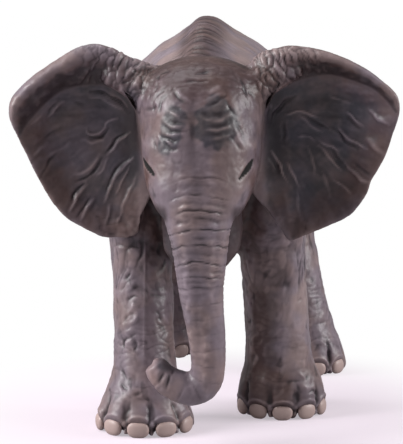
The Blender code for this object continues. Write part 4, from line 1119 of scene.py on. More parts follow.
        # Painted highlight: crest paint on the outer middle of the front left leg, standing in for light that reaches
        # it.
        cool = 0.9 * shaded * band(x + 0.6 * blot, 15.2, 18.6, 0.9) * step(z, 7.0, 11.0)
        skin.masks[Paint.CREST] = np.maximum(skin.masks[Paint.CREST], cool)
        umber = np.maximum(umber, inner_leg_shade * step(z, 4.0, 9.0) * (1.0 - 0.6 * band(x, 0.0, 8.4, 1.0)))
        umber = np.maximum(umber, 0.9 * shaded * step(z + 1.5 * blot, 13.0, 9.0) * left_part)
        for ear in (LEFT_EAR, RIGHT_EAR):
            chosen = self.ear_zone(ear)
            _, fields = self.ear_fields(ear, chosen)
            facing = step(-self.normals[chosen][:, 1], -0.1, 0.3)
            out = step(ear.side * self.plain[chosen][:, 0], 10.4, 12.4) * self.owners.mask(ear.piece, soft=4)[chosen]
            inner = facing * out * step(-fields.depth, -0.4, 0.4)
            rim = step(fields.rim_gap + 1.6 * blot[chosen], 8.5, 2.0)
            low = step(z[chosen], 47.0, 38.0) * 0.6
            # Painted shadow: a dark band along the lower edge of each ear's roll, where the roll shades the dish.
            under_roll_shade = step(fields.share() + 0.15 * blot[chosen], 0.36, 0.58) * (1.0 - inner) * facing * out
            under_roll_shade = under_roll_shade * step(ear.side * x[chosen], 14.0, 20.0)
            # Painted light: the middle of the dish is painted lighter on the ear that takes more light.
            dish_painted_light = bell(np.hypot(x[chosen] - ear.side * 22.5, z[chosen] - 53.0), 7.5) * ear.dish_painted_light
            deep = inner * (1.0 - np.maximum(0.85 * rim, low)) * (1.0 - dish_painted_light) * (0.9 + 0.3 * blot[chosen])
            charcoal[chosen] = np.maximum(charcoal[chosen], np.clip(deep, 0.0, 1.0))
            hollow = skin.masks[Paint.HOLLOW][chosen]
            # Painted shade: the dish is darker near its root, beside the head.
            root = inner * step(ear.side * x[chosen] + blot[chosen], 17.0, 12.5) * band(z[chosen], 48.0, 62.0, 3.0)
            skin.masks[Paint.HOLLOW][chosen] = np.maximum(hollow, np.maximum(under_roll_shade, root))
            rolled = (1.0 - inner) * step(fields.share(), 0.1, 0.45)
            umber[chosen] = np.maximum(umber[chosen] * (1.0 - inner), out * np.maximum(inner * rim, rolled) * 0.8)
        skin.masks[Paint.HOLLOW] = np.maximum(skin.masks[Paint.HOLLOW], painted_shade_and_dark_paint)
        ink = np.zeros(len(x))
        zone = (y < -30.0) & (z > 44.0)
        for eye in (RIGHT_EYE, LEFT_EYE):
            gap, along = line_distance(places[zone], spline(eye.points, 16))
            almond = 0.15 + 0.3 * np.sin(np.pi * np.clip(along / 3.2, 0.0, 1.0))
            ink[zone] = np.maximum(ink[zone], step(gap, almond + 0.12, almond) * front[zone])
        tip = np.hypot((x + 8.0) / 1.6, (z - 14.4) / 3.4)
        # Painted shade on the upper face of the trunk's curled tip, in the dark grey layer.
        edge = 13.2 - 0.25 * (x + 2.6)
        trunk_tip_shade = (y < -38.0) * band(x, -7.5, -2.6, 0.5) * step(z - edge, 0.0, 0.7) * step(z, 18.0, 17.0)
        body = self.owners.mask(Piece.TORSO_LEFT, Piece.TORSO_RIGHT, Piece.HEAD, *(foot.piece for foot in FEET), soft=12)
        # Painted shade on the chest and neck behind the trunk and between the forelegs, in the brown layer.
        throat_shade = body * step(y, -14.0, -24.0) * step(y, -41.0, -38.0) * band(z + 2.0 * blot, 34.0, 48.0, 6.0)
        skin.masks[Paint.CHARCOAL] = np.maximum(charcoal, 0.8 * trunk_tip_shade)
        skin.masks[Paint.UMBER] = np.maximum(umber, throat_shade * step(np.abs(x) + blot, 12.4, 9.0))
        skin.masks[Paint.BLUSH] = 0.8 * step(tip, 1.25, 0.9) * step(x, -6.8, -7.6) * (y < -38.0)
        skin.masks[Paint.INK] = ink

    def carve(self) -> None:
        """Cut everything, in order, and leave the paint."""
        self.broad_forms()
        self.settle()
        self.trunk()
        self.face()
        self.ears()
        self.legs()
        self.torso()
        self.mould_line()
        self.grain()
        self.settle()
        self.skin.points[:, 2] = np.maximum(self.skin.points[:, 2], 0.02)
        self.paint()


@dataclass(frozen=True)
class Foot:
    """One foot: where it stands, how large it is and how its nails sit."""

    piece: Piece
    middle: tuple[float, float]
    half_size: tuple[float, float]
    top: tuple[float, float]
    nails: int
    turn: float
    seed: int
    spacing: float = 33.0
    nail_width: float = 3.7
    nail_height: float = 3.1
    nail_depth: float = 1.7
    gap_share: float = 1.34
    inset: float = 0.72
    bulge: float = 0.2
    # Strength of the painted shade on the inner side of the leg.
    shade: float = 0.5
    strokes: tuple[Stroke, ...] = ()

    def nail(self, number: int) -> tuple[float, tuple[float, float, float]]:
        """Direction and centre of one nail.

        Args:
            number: Counts from the animal's right, 0 first.

        Returns:
            Its direction from straight ahead, in radians, and its centre in millimetres.
        """
        angle = math.radians(self.turn + (number - (self.nails - 1) / 2) * self.spacing)
        across, ahead = (size - self.inset for size in self.half_size)
        return angle, (self.middle[0] + across * math.sin(angle), self.middle[1] - ahead * math.cos(angle),
                       self.nail_height / 2)


FEET: tuple[Foot, ...] = (
    Foot(Piece.FORELEG_RIGHT, (-10.6, -28.7), (9.2, 8.2), (-12.0, -18.0), 5, -5.0, 1, spacing=35.5, shade=0.35, nail_width=4.1, bulge=0.45,
         strokes=(
             Stroke(((-11.2, 35.0), (-11.2, 32.8), (-12.1, 31.0), (-12.8, 29.9)), -0.45, 0.5),
             Stroke(((-13.5, 29.6), (-14.0, 28.5), (-14.9, 27.5)), -0.45, 0.36),
             Stroke(((-12.8, 34.3), (-13.2, 33.1), (-13.0, 32.0)), 0.3, 0.6),
             Stroke(((-11.6, 24.7), (-12.8, 24.5), (-13.8, 24.0)), -0.4, 0.36),
             Stroke(((-12.6, 22.3), (-13.3, 21.2), (-14.4, 20.1)), -0.4, 0.36),
             Stroke(((-14.6, 14.6), (-14.5, 16.0), (-13.8, 17.2), (-12.5, 17.9)), -0.45, 0.32),
             Stroke(((-12.4, 14.9), (-12.1, 16.1), (-12.6, 17.0)), -0.35, 0.32),
             Stroke(((-13.6, 15.3), (-13.5, 16.4), (-12.8, 16.8)), 0.4, 0.45),
             Stroke(((-8.5, 21.9), (-7.8, 20.9), (-7.1, 20.2)), -0.4, 0.34),
             Stroke(((-9.8, 24.8), (-8.2, 24.9)), -0.3, 0.4),
             Stroke(((-7.7, 35.1), (-7.8, 32.9), (-8.0, 31.5)), -0.45, 0.5),
             Stroke(((-6.7, 31.3), (-7.4, 30.0), (-8.1, 29.0)), -0.45, 0.45),
             Stroke(((-12.3, 31.7), (-12.5, 30.8), (-13.2, 30.4)), 0.4, 0.4),
             Stroke(((-12.6, 27.5), (-13.2, 26.4), (-13.6, 25.4)), 0.4, 0.5),
             Stroke(((-12.2, 23.9), (-12.5, 22.7), (-13.3, 21.7)), 0.4, 0.5),
             Stroke(((-12.0, 21.8), (-12.5, 20.7), (-13.4, 19.9)), 0.4, 0.42),
             Stroke(((-12.5, 19.3), (-13.2, 18.5), (-13.6, 18.1)), 0.4, 0.45),
             Stroke(((-14.8, 9.0), (-13.8, 8.5), (-13.4, 7.7)), -0.4, 0.34),
             Stroke(((-14.5, 8.2), (-13.5, 7.2), (-12.9, 6.6)), 0.35, 0.4),
             Stroke(((-12.4, 7.3), (-11.5, 7.8), (-10.9, 8.0)), -0.45, 0.34),
             Stroke(((-14.8, 11.8), (-14.2, 10.5), (-14.4, 9.4)), -0.25, 0.4),
             Stroke(((-16.1, 23.5), (-15.9, 21.4), (-16.1, 19.5)), -0.2, 0.5),
         )),
    Foot(Piece.FORELEG_LEFT, (14.5, -15.5), (8.6, 7.9), (12.0, -18.0), 5, 2.0, 2, spacing=35.5, shade=0.95, nail_width=3.8, bulge=0.7,
         strokes=(
             Stroke(((8.3, 24.7), (8.2, 22.0), (8.3, 20.3)), 0.3, 0.45),
             Stroke(((9.0, 24.9), (9.3, 23.3), (8.9, 21.7)), -0.4, 0.4),
             Stroke(((7.7, 18.1), (8.5, 18.3), (8.9, 19.3)), -0.45, 0.36),
             Stroke(((9.7, 16.5), (9.0, 15.0), (8.9, 12.5)), 0.4, 0.36),
             Stroke(((9.1, 13.0), (9.7, 11.8), (9.5, 9.9)), 0.35, 0.36),
             Stroke(((17.5, 18.6), (16.8, 18.3), (16.1, 18.0)), 0.35, 0.4),
             Stroke(((17.6, 9.1), (18.4, 8.2), (18.6, 7.4)), 0.4, 0.4),
             Stroke(((18.0, 6.4), (18.8, 5.9), (19.1, 5.7)), 0.35, 0.4),
             Stroke(((13.4, 26.2), (13.4, 20.4), (13.5, 14.6)), -0.16, 0.3),
             Stroke(((17.7, 23.1), (18.2, 22.7)), -0.4, 0.4),
             Stroke(((13.9, 14.2), (16.1, 13.9), (18.7, 13.6)), -0.2, 0.36),
             Stroke(((14.4, 7.7), (16.5, 7.5), (17.6, 7.7)), -0.35, 0.45),
             Stroke(((17.3, 7.0), (17.5, 5.4), (17.8, 3.8)), -0.35, 0.4),
             Stroke(((18.7, 33.9), (18.9, 30.8), (19.4, 25.0), (19.6, 16.2)), 0.3, 0.36),
             Stroke(((17.1, 33.6), (17.4, 30.2), (17.3, 27.8)), -0.28, 0.36),
             Stroke(((18.0, 33.5), (18.4, 30.7), (18.2, 28.5)), 0.2, 0.36),
             Stroke(((9.3, 8.7), (8.6, 6.0), (7.8, 3.9)), -0.4, 0.4),
             Stroke(((18.8, 5.2), (19.9, 5.1), (21.4, 3.8)), -0.35, 0.36),
         )),
    Foot(Piece.HINDLEG_RIGHT, (-11.6, 32.0), (7.5, 7.4), (-12.0, 26.0), 3, -8.0, 3, spacing=45.0),
    Foot(Piece.HINDLEG_LEFT, (20.3, 18.6), (7.3, 7.3), (12.0, 26.0), 3, 9.5, 4, spacing=45.0),
)


@dataclass
class Splitter:
    """Parts the finished skin into one closed piece for each solid."""

    skin: Skin
    owners: Owners
    soft: int = 12

    def face_labels(self) -> Array:
        """Number of the piece that each face belongs to, with even borders that never touch themselves."""
        share = np.stack([self.owners.mask(piece, soft=self.soft) for piece in Piece], axis=1)
        labels = share[self.skin.faces].sum(axis=1).argmax(axis=1)
        faces = self.skin.faces
        starts, ends = faces.ravel(), np.roll(faces, -1, axis=1).ravel()
        owner = np.repeat(np.arange(len(faces)), 4)
        key = np.minimum(starts, ends) * len(self.skin.points) + np.maximum(starts, ends)
        order = np.argsort(key, kind="stable")
        first, second = order[0::2], order[1::2]
        for _ in range(60):
            a, b = labels[owner[first]], labels[owner[second]]
            border = a != b
            spots = np.concatenate([starts[first][border], ends[first][border]])
            named = np.concatenate([spots * 16 + np.tile(a[border], 2), spots * 16 + np.tile(b[border], 2)])
            found, count = np.unique(named, return_counts=True)
            bad = found[count > 2] // 16
            if not len(bad):
                break
            touched = np.isin(faces, bad)
            for spot in bad:
                around = np.flatnonzero((faces == spot).any(axis=1))
                labels[around] = np.bincount(labels[around]).argmax()
            LOG.info("borders: %d crossings mended, %d faces near them", len(bad), int(touched.any(axis=1).sum()))
        return labels

    def cap_loops(self, faces: Array) -> tuple[list[tuple[int, int, int]], list[Array]]:
        """Close every open border with a fan to its middle.

        Args:
            faces: The piece's faces, by the skin's points.

        Returns:
            The fans' faces, whose last corner counts from the end of the skin's points, and the new points.
        """
        starts, ends = faces.ravel(), np.roll(faces, -1, axis=1).ravel()
        count = len(self.skin.points)
        forward, backward = starts * count + ends, ends * count + starts
        open_edges = ~np.isin(forward, backward)
        following = dict(zip(starts[open_edges].tolist(), ends[open_edges].tolist()))
        fans: list[tuple[int, int, int]] = []
        middles: list[Array] = []
        while following:
            start, current = following.popitem()
            loop = [start, current]
            while current in following:
                current = following.pop(current)
                loop.append(current)
            centre = count + len(middles)
            middles.append(self.skin.points[loop[:-1]].mean(axis=0))
            fans += [(end, begin, centre) for begin, end in zip(loop, loop[1:])]
        return fans, middles

    def objects(self) -> dict[Piece, bpy.types.Object]:
        """Make the pieces.

        Returns:
            One closed object for each solid, in metres, with the paint masks as point attributes.
        """
        labels = self.face_labels()
        normals = self.skin.normals()
        made: dict[Piece, bpy.types.Object] = {}
        for number, piece in enumerate(Piece):
            faces = self.skin.faces[labels == number]
            fans, middles = self.cap_loops(faces)
            used = np.unique(faces)
            renumber = np.full(len(self.skin.points) + len(middles), -1)
            renumber[used] = np.arange(len(used))
            renumber[len(self.skin.points):] = len(used) + np.arange(len(middles))
            points = np.vstack([self.skin.points[used], np.array(middles).reshape(-1, 3)])
            every = renumber[faces].tolist() + renumber[np.array(fans, dtype=int).reshape(-1, 3)].tolist()
            mesh = bpy.data.meshes.new(f"{piece.value}_skin")
            mesh.from_pydata((points * MM).tolist(), [], every)
            mesh.shade_smooth()
            for paint, mask in self.skin.masks.items():
                values = np.zeros(len(points), dtype=np.float32)
                values[: len(used)] = mask[used]
                mesh.attributes.new(paint.value, "FLOAT", "POINT").data.foreach_set("value", values)
            directions = np.vstack([normals[used], np.tile((0.0, 0.0, 1.0), (len(middles), 1))])
            mesh.normals_split_custom_set_from_vertices(directions.tolist())
            made[piece] = bpy.data.objects.new(f"{piece.value}_skin", mesh)
            bpy.context.scene.collection.objects.link(made[piece])
            LOG.info("%s: %d faces, %d borders closed", piece.value, len(every), len(middles))
        return made


# Finishes


def linear(colour: Colour) -> tuple[float, float, float, float]:
    """Colour as the shaders need it, from the 0 to 255 values that it should render as."""
    shares = [value / 255 for value in colour]
    return (*(s / 12.92 if s <= 0.04045 else ((s + 0.055) / 1.055) ** 2.4 for s in shares), 1.0)


class PaintLayers:
    """Shader group that lays the hand-painted layers over the base colour."""

    name = "painted_layers"
    layers: tuple[tuple[Paint, float], ...] = (
        (Paint.UMBER, 1.0), (Paint.CHARCOAL, 1.0), (Paint.HOLLOW, 0.85), (Paint.CREST, 0.55), (Paint.BLUSH, 0.8),
        (Paint.INK, 1.0))

    def build(self) -> bpy.types.NodeTree:
        """The group, made once.

        Returns:
            A group with Base, a colour and a mask for each layer, and the blended Colour.
        """
        tree = bpy.data.node_groups.get(self.name)
        if tree:
            return tree
        tree = bpy.data.node_groups.new(self.name, "ShaderNodeTree")
        tree.interface.new_socket("Base", in_out="INPUT", socket_type="NodeSocketColor")
        for paint, _ in self.layers:
            tree.interface.new_socket(f"{paint.value} colour", in_out="INPUT", socket_type="NodeSocketColor")
            tree.interface.new_socket(f"{paint.value} mask", in_out="INPUT", socket_type="NodeSocketFloat")
        tree.interface.new_socket("Colour", in_out="OUTPUT", socket_type="NodeSocketColor")
        start, end = tree.nodes.new("NodeGroupInput"), tree.nodes.new("NodeGroupOutput")
        colour = start.outputs["Base"]
        for number, (paint, strength) in enumerate(self.layers):
            share = tree.nodes.new("ShaderNodeMath")
            share.operation = "MULTIPLY"
            share.inputs[1].default_value = strength
            share.location = (200 * number, -200)
            mix = tree.nodes.new("ShaderNodeMix")
            mix.data_type = "RGBA"
            mix.location = (200 * number + 100, 0)
            tree.links.new(start.outputs[f"{paint.value} mask"], share.inputs[0])
            tree.links.new(share.outputs[0], mix.inputs["Factor"])
            tree.links.new(colour, mix.inputs[6])
            tree.links.new(start.outputs[f"{paint.value} colour"], mix.inputs[7])
            colour = mix.outputs[2]
        tree.links.new(colour, end.inputs["Colour"])
        end.location = (200 * len(self.layers) + 100, 0)
        return tree


class Mottle:
    """Shader group for the faint cloudiness of the paint and its fine tooth."""

    name = "paint_mottle"
    patterns = (("Cloud", 260.0, 3.0), ("Tooth", 2600.0, 2.0), ("Drift", 150.0, 2.0))

    def build(self) -> bpy.types.NodeTree:
        """The group, made once.

        Returns:
            A group that turns object coordinates into Cloud, Tooth and the slower Drift, each from 0 to 1.
        """
        tree = bpy.data.node_groups.get(self.name)
        if tree:
            return tree
        tree = bpy.data.node_groups.new(self.name, "ShaderNodeTree")
        tree.interface.new_socket("Place", in_out="INPUT", socket_type="NodeSocketVector")
        for output, _, _ in self.patterns:
            tree.interface.new_socket(output, in_out="OUTPUT", socket_type="NodeSocketFloat")
        start, end = tree.nodes.new("NodeGroupInput"), tree.nodes.new("NodeGroupOutput")
        for number, (output, swell, detail) in enumerate(self.patterns):
            pattern = tree.nodes.new("ShaderNodeTexNoise")
            pattern.inputs["Scale"].default_value = swell
            pattern.inputs["Detail"].default_value = detail
            pattern.location = (200, -250 * number)
            tree.links.new(start.outputs["Place"], pattern.inputs["Vector"])
            tree.links.new(pattern.outputs["Fac"], end.inputs[output])
        end.location = (450, 0)
        return tree


@dataclass(frozen=True)
class PaintedSkin:
    """Satin vinyl with a sprayed base, dark washes in its hollows and dry-brushed crests, with painted shade and
    painted highlights laid in the same layers.

    Colours are the 0 to 255 values that each layer shows in even light.
    """

    name: str
    base: Colour = (132, 117, 120)
    crest: Colour = (170, 154, 155)
    hollow: Colour = (46, 38, 42)
    # This dark grey colour and the brown one after it are also used for painted shade.
    charcoal: Colour = (72, 69, 75)
    umber: Colour = (91, 70, 68)
    blush: Colour = (164, 142, 142)
    ink: Colour = (10, 5, 5)
    warm: Colour = (255, 247, 243)
    cool: Colour = (242, 243, 255)
    roughness: float = 0.4
    eye_roughness: float = 0.85
    gloss: float = 0.45
    tooth: float = 0.12

    def build(self) -> bpy.types.Material:
        """Make the material.

        Returns:
            The material, reading the skin's masks.
        """
        material = bpy.data.materials.new(self.name)
        material.use_nodes = True
        nodes, links = material.node_tree.nodes, material.node_tree.links
        shader = nodes["Principled BSDF"]
        layers = nodes.new("ShaderNodeGroup")
        layers.node_tree = PaintLayers().build()
        layers.location = (-300, 200)
        layers.inputs["Base"].default_value = linear(self.base)
        for number, (paint, _) in enumerate(PaintLayers.layers):
            mask = nodes.new("ShaderNodeAttribute")
            mask.attribute_name = paint.value
            mask.name = f"{paint.value} mask"
            mask.location = (-600, 300 - 160 * number)
            links.new(mask.outputs["Fac"], layers.inputs[f"{paint.value} mask"])
            layers.inputs[f"{paint.value} colour"].default_value = linear(getattr(self, paint.value))
        place = nodes.new("ShaderNodeTexCoord")
        place.location = (-900, -400)
        mottle = nodes.new("ShaderNodeGroup")
        mottle.node_tree = Mottle().build()
        mottle.location = (-600, -700)
        links.new(place.outputs["Object"], mottle.inputs["Place"])
        tint = nodes.new("ShaderNodeMix")
        tint.data_type, tint.blend_type = "RGBA", "OVERLAY"
        tint.inputs["Factor"].default_value = 0.35
        tint.location = (-100, 200)
        links.new(layers.outputs["Colour"], tint.inputs[6])
        links.new(mottle.outputs["Cloud"], tint.inputs[7])
        drift = nodes.new("ShaderNodeMapRange")
        drift.inputs["From Min"].default_value, drift.inputs["From Max"].default_value = 0.4, 0.6
        drift.location = (-300, -200)
        links.new(mottle.outputs["Drift"], drift.inputs["Value"])
        temper = nodes.new("ShaderNodeMix")
        temper.data_type = "RGBA"
        temper.inputs[6].default_value, temper.inputs[7].default_value = linear(self.warm), linear(self.cool)
        temper.location = (-100, 0)
        links.new(drift.outputs["Result"], temper.inputs["Factor"])
        tempered = nodes.new("ShaderNodeMix")
        tempered.data_type, tempered.blend_type = "RGBA", "MULTIPLY"
        tempered.inputs["Factor"].default_value = 1.0
        tempered.location = (100, 200)
        links.new(tint.outputs[2], tempered.inputs[6])
        links.new(temper.outputs[2], tempered.inputs[7])
        links.new(tempered.outputs[2], shader.inputs["Base Color"])
        shader.inputs["Specular IOR Level"].default_value = self.gloss
        wet = nodes.new("ShaderNodeMapRange")
        wet.inputs["To Min"].default_value, wet.inputs["To Max"].default_value = self.roughness, self.eye_roughness
        wet.location = (100, -100)
        links.new(nodes["ink mask"].outputs["Fac"], wet.inputs["Value"])
        links.new(wet.outputs["Result"], shader.inputs["Roughness"])
        bump = nodes.new("ShaderNodeBump")
        bump.inputs["Strength"].default_value = self.tooth
        bump.inputs["Distance"].default_value = 0.1 * MM
        bump.location = (-100, -300)
        links.new(mottle.outputs["Tooth"], bump.inputs["Height"])
        links.new(bump.outputs["Normal"], shader.inputs["Normal"])
        return material


@dataclass(frozen=True)
class PlainPaint:
    """One even satin paint."""

    name: str
    colour: Colour
    roughness: float = 0.5

    def build(self) -> bpy.types.Material:
        """Make the material."""
        material = bpy.data.materials.new(self.name)
        material.use_nodes = True
        shader = material.node_tree.nodes["Principled BSDF"]
        shader.inputs["Base Color"].default_value = linear(self.colour)
        shader.inputs["Roughness"].default_value = self.roughness
        return material


SLOTS: dict[Piece, str] = {
    Piece.TORSO_LEFT: "torso_skin", Piece.TORSO_RIGHT: "torso_skin", Piece.HEAD: "head_skin",
    Piece.TRUNK: "trunk_skin", Piece.EAR_LEFT: "ear_skin", Piece.EAR_RIGHT: "ear_skin",
    Piece.FORELEG_LEFT: "leg_skin", Piece.FORELEG_RIGHT: "leg_skin", Piece.HINDLEG_LEFT: "leg_skin",
    Piece.HINDLEG_RIGHT: "leg_skin", Piece.TAIL: "tail_skin"}


# Toenails


@dataclass
class ToenailRow:
    """The toenails of one foot, set out round it by a Geometry Nodes tree."""

    foot: Foot
    paint: PlainPaint = PlainPaint("toenail_paint", (190, 166, 161), 0.42)
    squareness: float = 0.86
    sides: int = 36
    rings: int = 20

    def tree(self, material: bpy.types.Material) -> bpy.types.NodeTree:
        """Nodes that put a flattened ball at each nail's place.

        Args:
            material: The nails' paint.

        Returns:
            The tree, with the foot's sizes as named inputs.
        """
        tree = bpy.data.node_groups.new("toenail_row", "GeometryNodeTree")
        add, link = tree.nodes.new, tree.links.new
        sizes = {"Count": ("NodeSocketInt", self.foot.nails), "Spacing": ("NodeSocketFloat", self.foot.spacing),
                 "Turn": ("NodeSocketFloat", self.foot.turn), "Squareness": ("NodeSocketFloat", self.squareness),
                 "Middle": ("NodeSocketVector", (*self.foot.middle, self.foot.nail_height * 0.46)),
                 "Foot half size": ("NodeSocketVector", (*(size - self.foot.inset for size in self.foot.half_size), 1.0)),
                 "Nail half size": ("NodeSocketVector", (self.foot.nail_width / 2, self.foot.nail_depth / 2,
                                                         self.foot.nail_height / 2))}
        tree.interface.new_socket("Geometry", in_out="OUTPUT", socket_type="NodeSocketGeometry")
        for name, (kind, value) in sizes.items():
            socket = tree.interface.new_socket(name, in_out="INPUT", socket_type=kind)
            in_metres = kind == "NodeSocketVector"
            socket.default_value = tuple(part * MM for part in value) if in_metres else value
        given = add("NodeGroupInput")

        def maths(operation: str, first: object, second: object = None) -> bpy.types.NodeSocket:
            """Small sum of two sockets or numbers."""
            node = add("ShaderNodeMath")
            node.operation = operation
            for slot, value in enumerate((first, second)):
                if isinstance(value, bpy.types.NodeSocket):
                    link(value, node.inputs[slot])
                elif value is not None:
                    node.inputs[slot].default_value = value
            return node.outputs[0]

        line = add("GeometryNodeMeshLine")
        link(given.outputs["Count"], line.inputs["Count"])
        middle = maths("MULTIPLY", maths("SUBTRACT", given.outputs["Count"], 1.0), 0.5)
        turns = maths("MULTIPLY", maths("SUBTRACT", add("GeometryNodeInputIndex").outputs[0], middle),
                      given.outputs["Spacing"])
        angle = maths("RADIANS", maths("ADD", turns, given.outputs["Turn"]))
        way = add("ShaderNodeCombineXYZ")
        link(maths("SINE", angle), way.inputs["X"])
        link(maths("MULTIPLY", maths("COSINE", angle), -1.0), way.inputs["Y"])
        place = add("ShaderNodeVectorMath")
        place.operation = "MULTIPLY_ADD"
        link(way.outputs[0], place.inputs[0])
        link(given.outputs["Foot half size"], place.inputs[1])
        link(given.outputs["Middle"], place.inputs[2])
        spread = add("GeometryNodeSetPosition")
        link(line.outputs["Mesh"], spread.inputs["Geometry"])
        link(place.outputs[0], spread.inputs["Position"])
        ball = add("GeometryNodeMeshUVSphere")
        ball.inputs["Segments"].default_value = self.sides
        ball.inputs["Rings"].default_value = self.rings
        ball.inputs["Radius"].default_value = 1.0
        fuller = add("GeometryNodeSetPosition")
        link(ball.outputs["Mesh"], fuller.inputs["Geometry"])
        link(self.squarer(tree, given.outputs["Squareness"]), fuller.inputs["Position"])
        shape = add("GeometryNodeTransform")
        link(fuller.outputs["Geometry"], shape.inputs["Geometry"])
        link(given.outputs["Nail half size"], shape.inputs["Scale"])
        facing = add("ShaderNodeCombineXYZ")
        link(angle, facing.inputs["Z"])
        nails = add("GeometryNodeInstanceOnPoints")
        link(spread.outputs[0], nails.inputs["Points"])
        link(shape.outputs[0], nails.inputs["Instance"])
        link(facing.outputs[0], nails.inputs["Rotation"])
        real = add("GeometryNodeRealizeInstances")
        link(nails.outputs[0], real.inputs[0])
        smooth = add("GeometryNodeSetShadeSmooth")
        link(real.outputs[0], smooth.inputs[0])
        coat = add("GeometryNodeSetMaterial")
        coat.inputs["Material"].default_value = material
        link(smooth.outputs[0], coat.inputs["Geometry"])
        link(coat.outputs[0], add("NodeGroupOutput").inputs["Geometry"])
        return tree

    @staticmethod
    def squarer(tree: bpy.types.NodeTree, power: bpy.types.NodeSocket) -> bpy.types.NodeSocket:
        """Position with each of its parts raised to a power, which fills a ball out towards a cube.

        Args:
            tree: Where the nodes go.
            power: Below 1 for a fuller shape.

        Returns:
            The new position.
        """
        split, joined = tree.nodes.new("ShaderNodeSeparateXYZ"), tree.nodes.new("ShaderNodeCombineXYZ")
        tree.links.new(tree.nodes.new("GeometryNodeInputPosition").outputs[0], split.inputs[0])
        for axis in "XYZ":
            size, sign, raised, signed = (tree.nodes.new("ShaderNodeMath") for _ in range(4))
            size.operation, sign.operation, raised.operation, signed.operation = (
                "ABSOLUTE", "SIGN", "POWER", "MULTIPLY")
            tree.links.new(split.outputs[axis], size.inputs[0])
            tree.links.new(split.outputs[axis], sign.inputs[0])
            tree.links.new(size.outputs[0], raised.inputs[0])
            tree.links.new(power, raised.inputs[1])
            tree.links.new(raised.outputs[0], signed.inputs[0])
            tree.links.new(sign.outputs[0], signed.inputs[1])
            tree.links.new(signed.outputs[0], joined.inputs[axis])
        return joined.outputs[0]

    def build(self) -> bpy.types.Object:
        """Make the row of nails.

        Returns:
            Its object, a plain mesh.
        """
        name = f"{self.foot.piece.value}_toenails"
        material = bpy.data.materials.get(self.paint.name) or self.paint.build()
        row = bpy.data.objects.new(name, bpy.data.meshes.new(name))
        bpy.context.scene.collection.objects.link(row)
        row.modifiers.new("toenails", "NODES").node_group = self.tree(material)
        plain = bpy.data.meshes.new_from_object(row.evaluated_get(bpy.context.evaluated_depsgraph_get()))
        row.modifiers.clear()
        row.data = plain
        return row


# The figure, the stage and the camera


@dataclass
class Figure:
    """The whole animal: one skin, parted into painted pieces, with its toenails."""

    builder: SkinBuilder = field(default_factory=SkinBuilder)

    def build(self) -> None:
        """Sculpt, part and paint every piece, and put it on the root body in place of its solid."""
        skin = self.builder.build()
        LOG.info("skin: %d points", len(skin.points))
        sculptor = Sculptor(skin, Owners(skin))
        sculptor.even_out(self.builder)
        sculptor.carve()
        LOG.info("skin carved")
        finishes = {slot: PaintedSkin(slot).build() for slot in dict.fromkeys(SLOTS.values())}
        for piece, thing in Splitter(skin, sculptor.owners).objects().items():
            thing.data.materials.append(finishes[SLOTS[piece]])
            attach(thing, "root")
            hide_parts(piece.value)
        for foot in FEET:
            row = ToenailRow(foot).build()
            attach(row, "root")
            LOG.info("%s: %d nails", row.name, foot.nails)


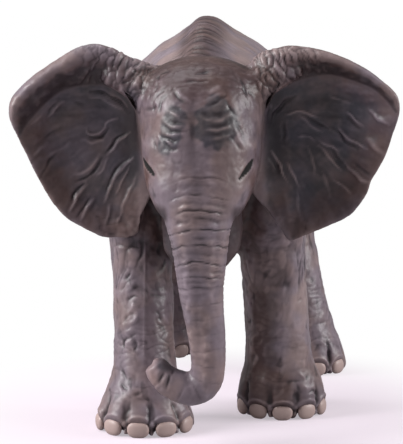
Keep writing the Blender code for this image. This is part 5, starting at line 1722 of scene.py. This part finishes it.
@dataclass
class Stage:
    """Pale floor that runs out into white, white surroundings and soft lamps."""

    # The tint round the figure's middle, fading out over floor_fade, is partly the paper's own colour and partly a
    # painted reflection and shadow of the figure.
    floor_tint_and_reflection: Colour = (250, 235, 248)
    floor_half_width: float = 1.2
    floor_middle: tuple[float, float, float] = (0.004, -0.022, 0.0)
    floor_fade: tuple[float, float] = (0.024, 0.062)
    glow: float = 0.45
    bounce: Colour = (170, 166, 170)
    fill: float = 0.21
    lamps: tuple[tuple[str, tuple[float, float, float], float, float], ...] = (
        ("left_softbox", (-0.50, -0.13, 0.34), 0.30, 3.9),
        ("right_softbox", (0.55, -0.04, 0.28), 0.30, 2.6),
        ("top_softbox", (-0.16, 0.10, 0.62), 0.36, 1.1),
    )
    aim: tuple[float, float, float] = (0.0, 0.0, 0.035)

    def build(self) -> None:
        """Make floor, world and lamps."""
        half = self.floor_half_width
        mesh = bpy.data.meshes.new("floor")
        mesh.from_pydata([(-half, -half, 0), (half, -half, 0), (half, half, 0), (-half, half, 0)], [], [(0, 1, 2, 3)])
        floor = bpy.data.objects.new("floor", mesh)
        bpy.context.scene.collection.objects.link(floor)
        mesh.materials.append(self.paper())
        self.world()
        for name, place, size, power in self.lamps:
            light = bpy.data.lights.new(name, "AREA")
            light.size, light.energy = size, power
            lamp = bpy.data.objects.new(name, light)
            lamp.location = place
            lamp.rotation_mode = "QUATERNION"
            lamp.rotation_quaternion = (Vector(self.aim) - Vector(place)).to_track_quat("-Z", "Y")
            bpy.context.scene.collection.objects.link(lamp)

    def paper(self) -> bpy.types.Material:
        """Floor paper: tinted and partly glowing to the camera, plain white far behind, greyer to other rays; the tint
        round the figure is partly the paper's own colour and partly a painted reflection and shadow of the figure.
        """
        material = bpy.data.materials.new("floor_paper")
        material.use_nodes = True
        nodes, links = material.node_tree.nodes, material.node_tree.links
        shader, output = nodes["Principled BSDF"], nodes["Material Output"]
        shader.inputs["Roughness"].default_value = 1.0
        shader.inputs["Specular IOR Level"].default_value = 0.0
        path, place = nodes.new("ShaderNodeLightPath"), nodes.new("ShaderNodeTexCoord")
        tint = nodes.new("ShaderNodeMix")
        tint.data_type = "RGBA"
        tint.inputs[6].default_value, tint.inputs[7].default_value = linear(self.bounce), linear(self.floor_tint_and_reflection)
        links.new(path.outputs["Is Camera Ray"], tint.inputs["Factor"])
        links.new(tint.outputs[2], shader.inputs["Base Color"])
        away = nodes.new("ShaderNodeVectorMath")
        away.operation = "DISTANCE"
        away.inputs[1].default_value = self.floor_middle
        links.new(place.outputs["Object"], away.inputs[0])
        fade = nodes.new("ShaderNodeMapRange")
        fade.interpolation_type = "SMOOTHSTEP"
        fade.inputs["From Min"].default_value, fade.inputs["From Max"].default_value = self.floor_fade
        fade.inputs["To Min"].default_value = self.glow
        links.new(away.outputs["Value"], fade.inputs["Value"])
        white = nodes.new("ShaderNodeMix")
        white.data_type = "RGBA"
        white.inputs[6].default_value, white.inputs[7].default_value = linear(self.floor_tint_and_reflection), (1.0, 1.0, 1.0, 1.0)
        links.new(fade.outputs["Result"], white.inputs["Factor"])
        glow = nodes.new("ShaderNodeEmission")
        links.new(white.outputs[2], glow.inputs["Color"])
        share = nodes.new("ShaderNodeMath")
        share.operation = "MULTIPLY"
        links.new(fade.outputs["Result"], share.inputs[0])
        links.new(path.outputs["Is Camera Ray"], share.inputs[1])
        blend = nodes.new("ShaderNodeMixShader")
        links.new(share.outputs[0], blend.inputs["Fac"])
        links.new(shader.outputs[0], blend.inputs[1])
        links.new(glow.outputs[0], blend.inputs[2])
        links.new(blend.outputs[0], output.inputs["Surface"])
        return material

    def world(self) -> None:
        """White to the camera, a plain fill to everything else."""
        world = bpy.data.worlds.new("white_room")
        world.use_nodes = True
        nodes, links = world.node_tree.nodes, world.node_tree.links
        background = nodes["Background"]
        background.inputs["Color"].default_value = (1.0, 1.0, 1.0, 1.0)
        path = nodes.new("ShaderNodeLightPath")
        level = nodes.new("ShaderNodeMapRange")
        level.inputs["To Min"].default_value = self.fill
        level.inputs["To Max"].default_value = 1.05
        links.new(path.outputs["Is Camera Ray"], level.inputs["Value"])
        links.new(level.outputs["Result"], background.inputs["Strength"])
        bpy.context.scene.world = world
        bpy.context.scene.view_settings.view_transform = "Standard"


@dataclass
class Photographer:
    """The camera, where the photograph was taken from, in millimetres."""

    place: tuple[float, float, float] = (18.46, -384.13, 98.87)
    target: tuple[float, float, float] = (0.4, -39.5, 40.5)
    lens: float = 160.54

    def build(self) -> None:
        """Make the camera and look through it."""
        data = bpy.data.cameras.new("photo_camera")
        data.sensor_width, data.lens = 36.0, self.lens
        data.clip_start, data.clip_end = 0.01, 10.0
        camera = bpy.data.objects.new("photo_camera", data)
        camera.location = Vector(self.place) * MM
        camera.rotation_mode = "QUATERNION"
        camera.rotation_quaternion = (Vector(self.target) - Vector(self.place)).to_track_quat("-Z", "Y")
        bpy.context.scene.collection.objects.link(camera)
        bpy.context.scene.camera = camera


def main() -> None:
    """Build everything."""
    logging.basicConfig(level=logging.INFO, format="%(name)s: %(message)s")
    Figure().build()
    Stage().build()
    Photographer().build()
    LOG.info("sizes written")


if __name__ == "__main__":
    main()
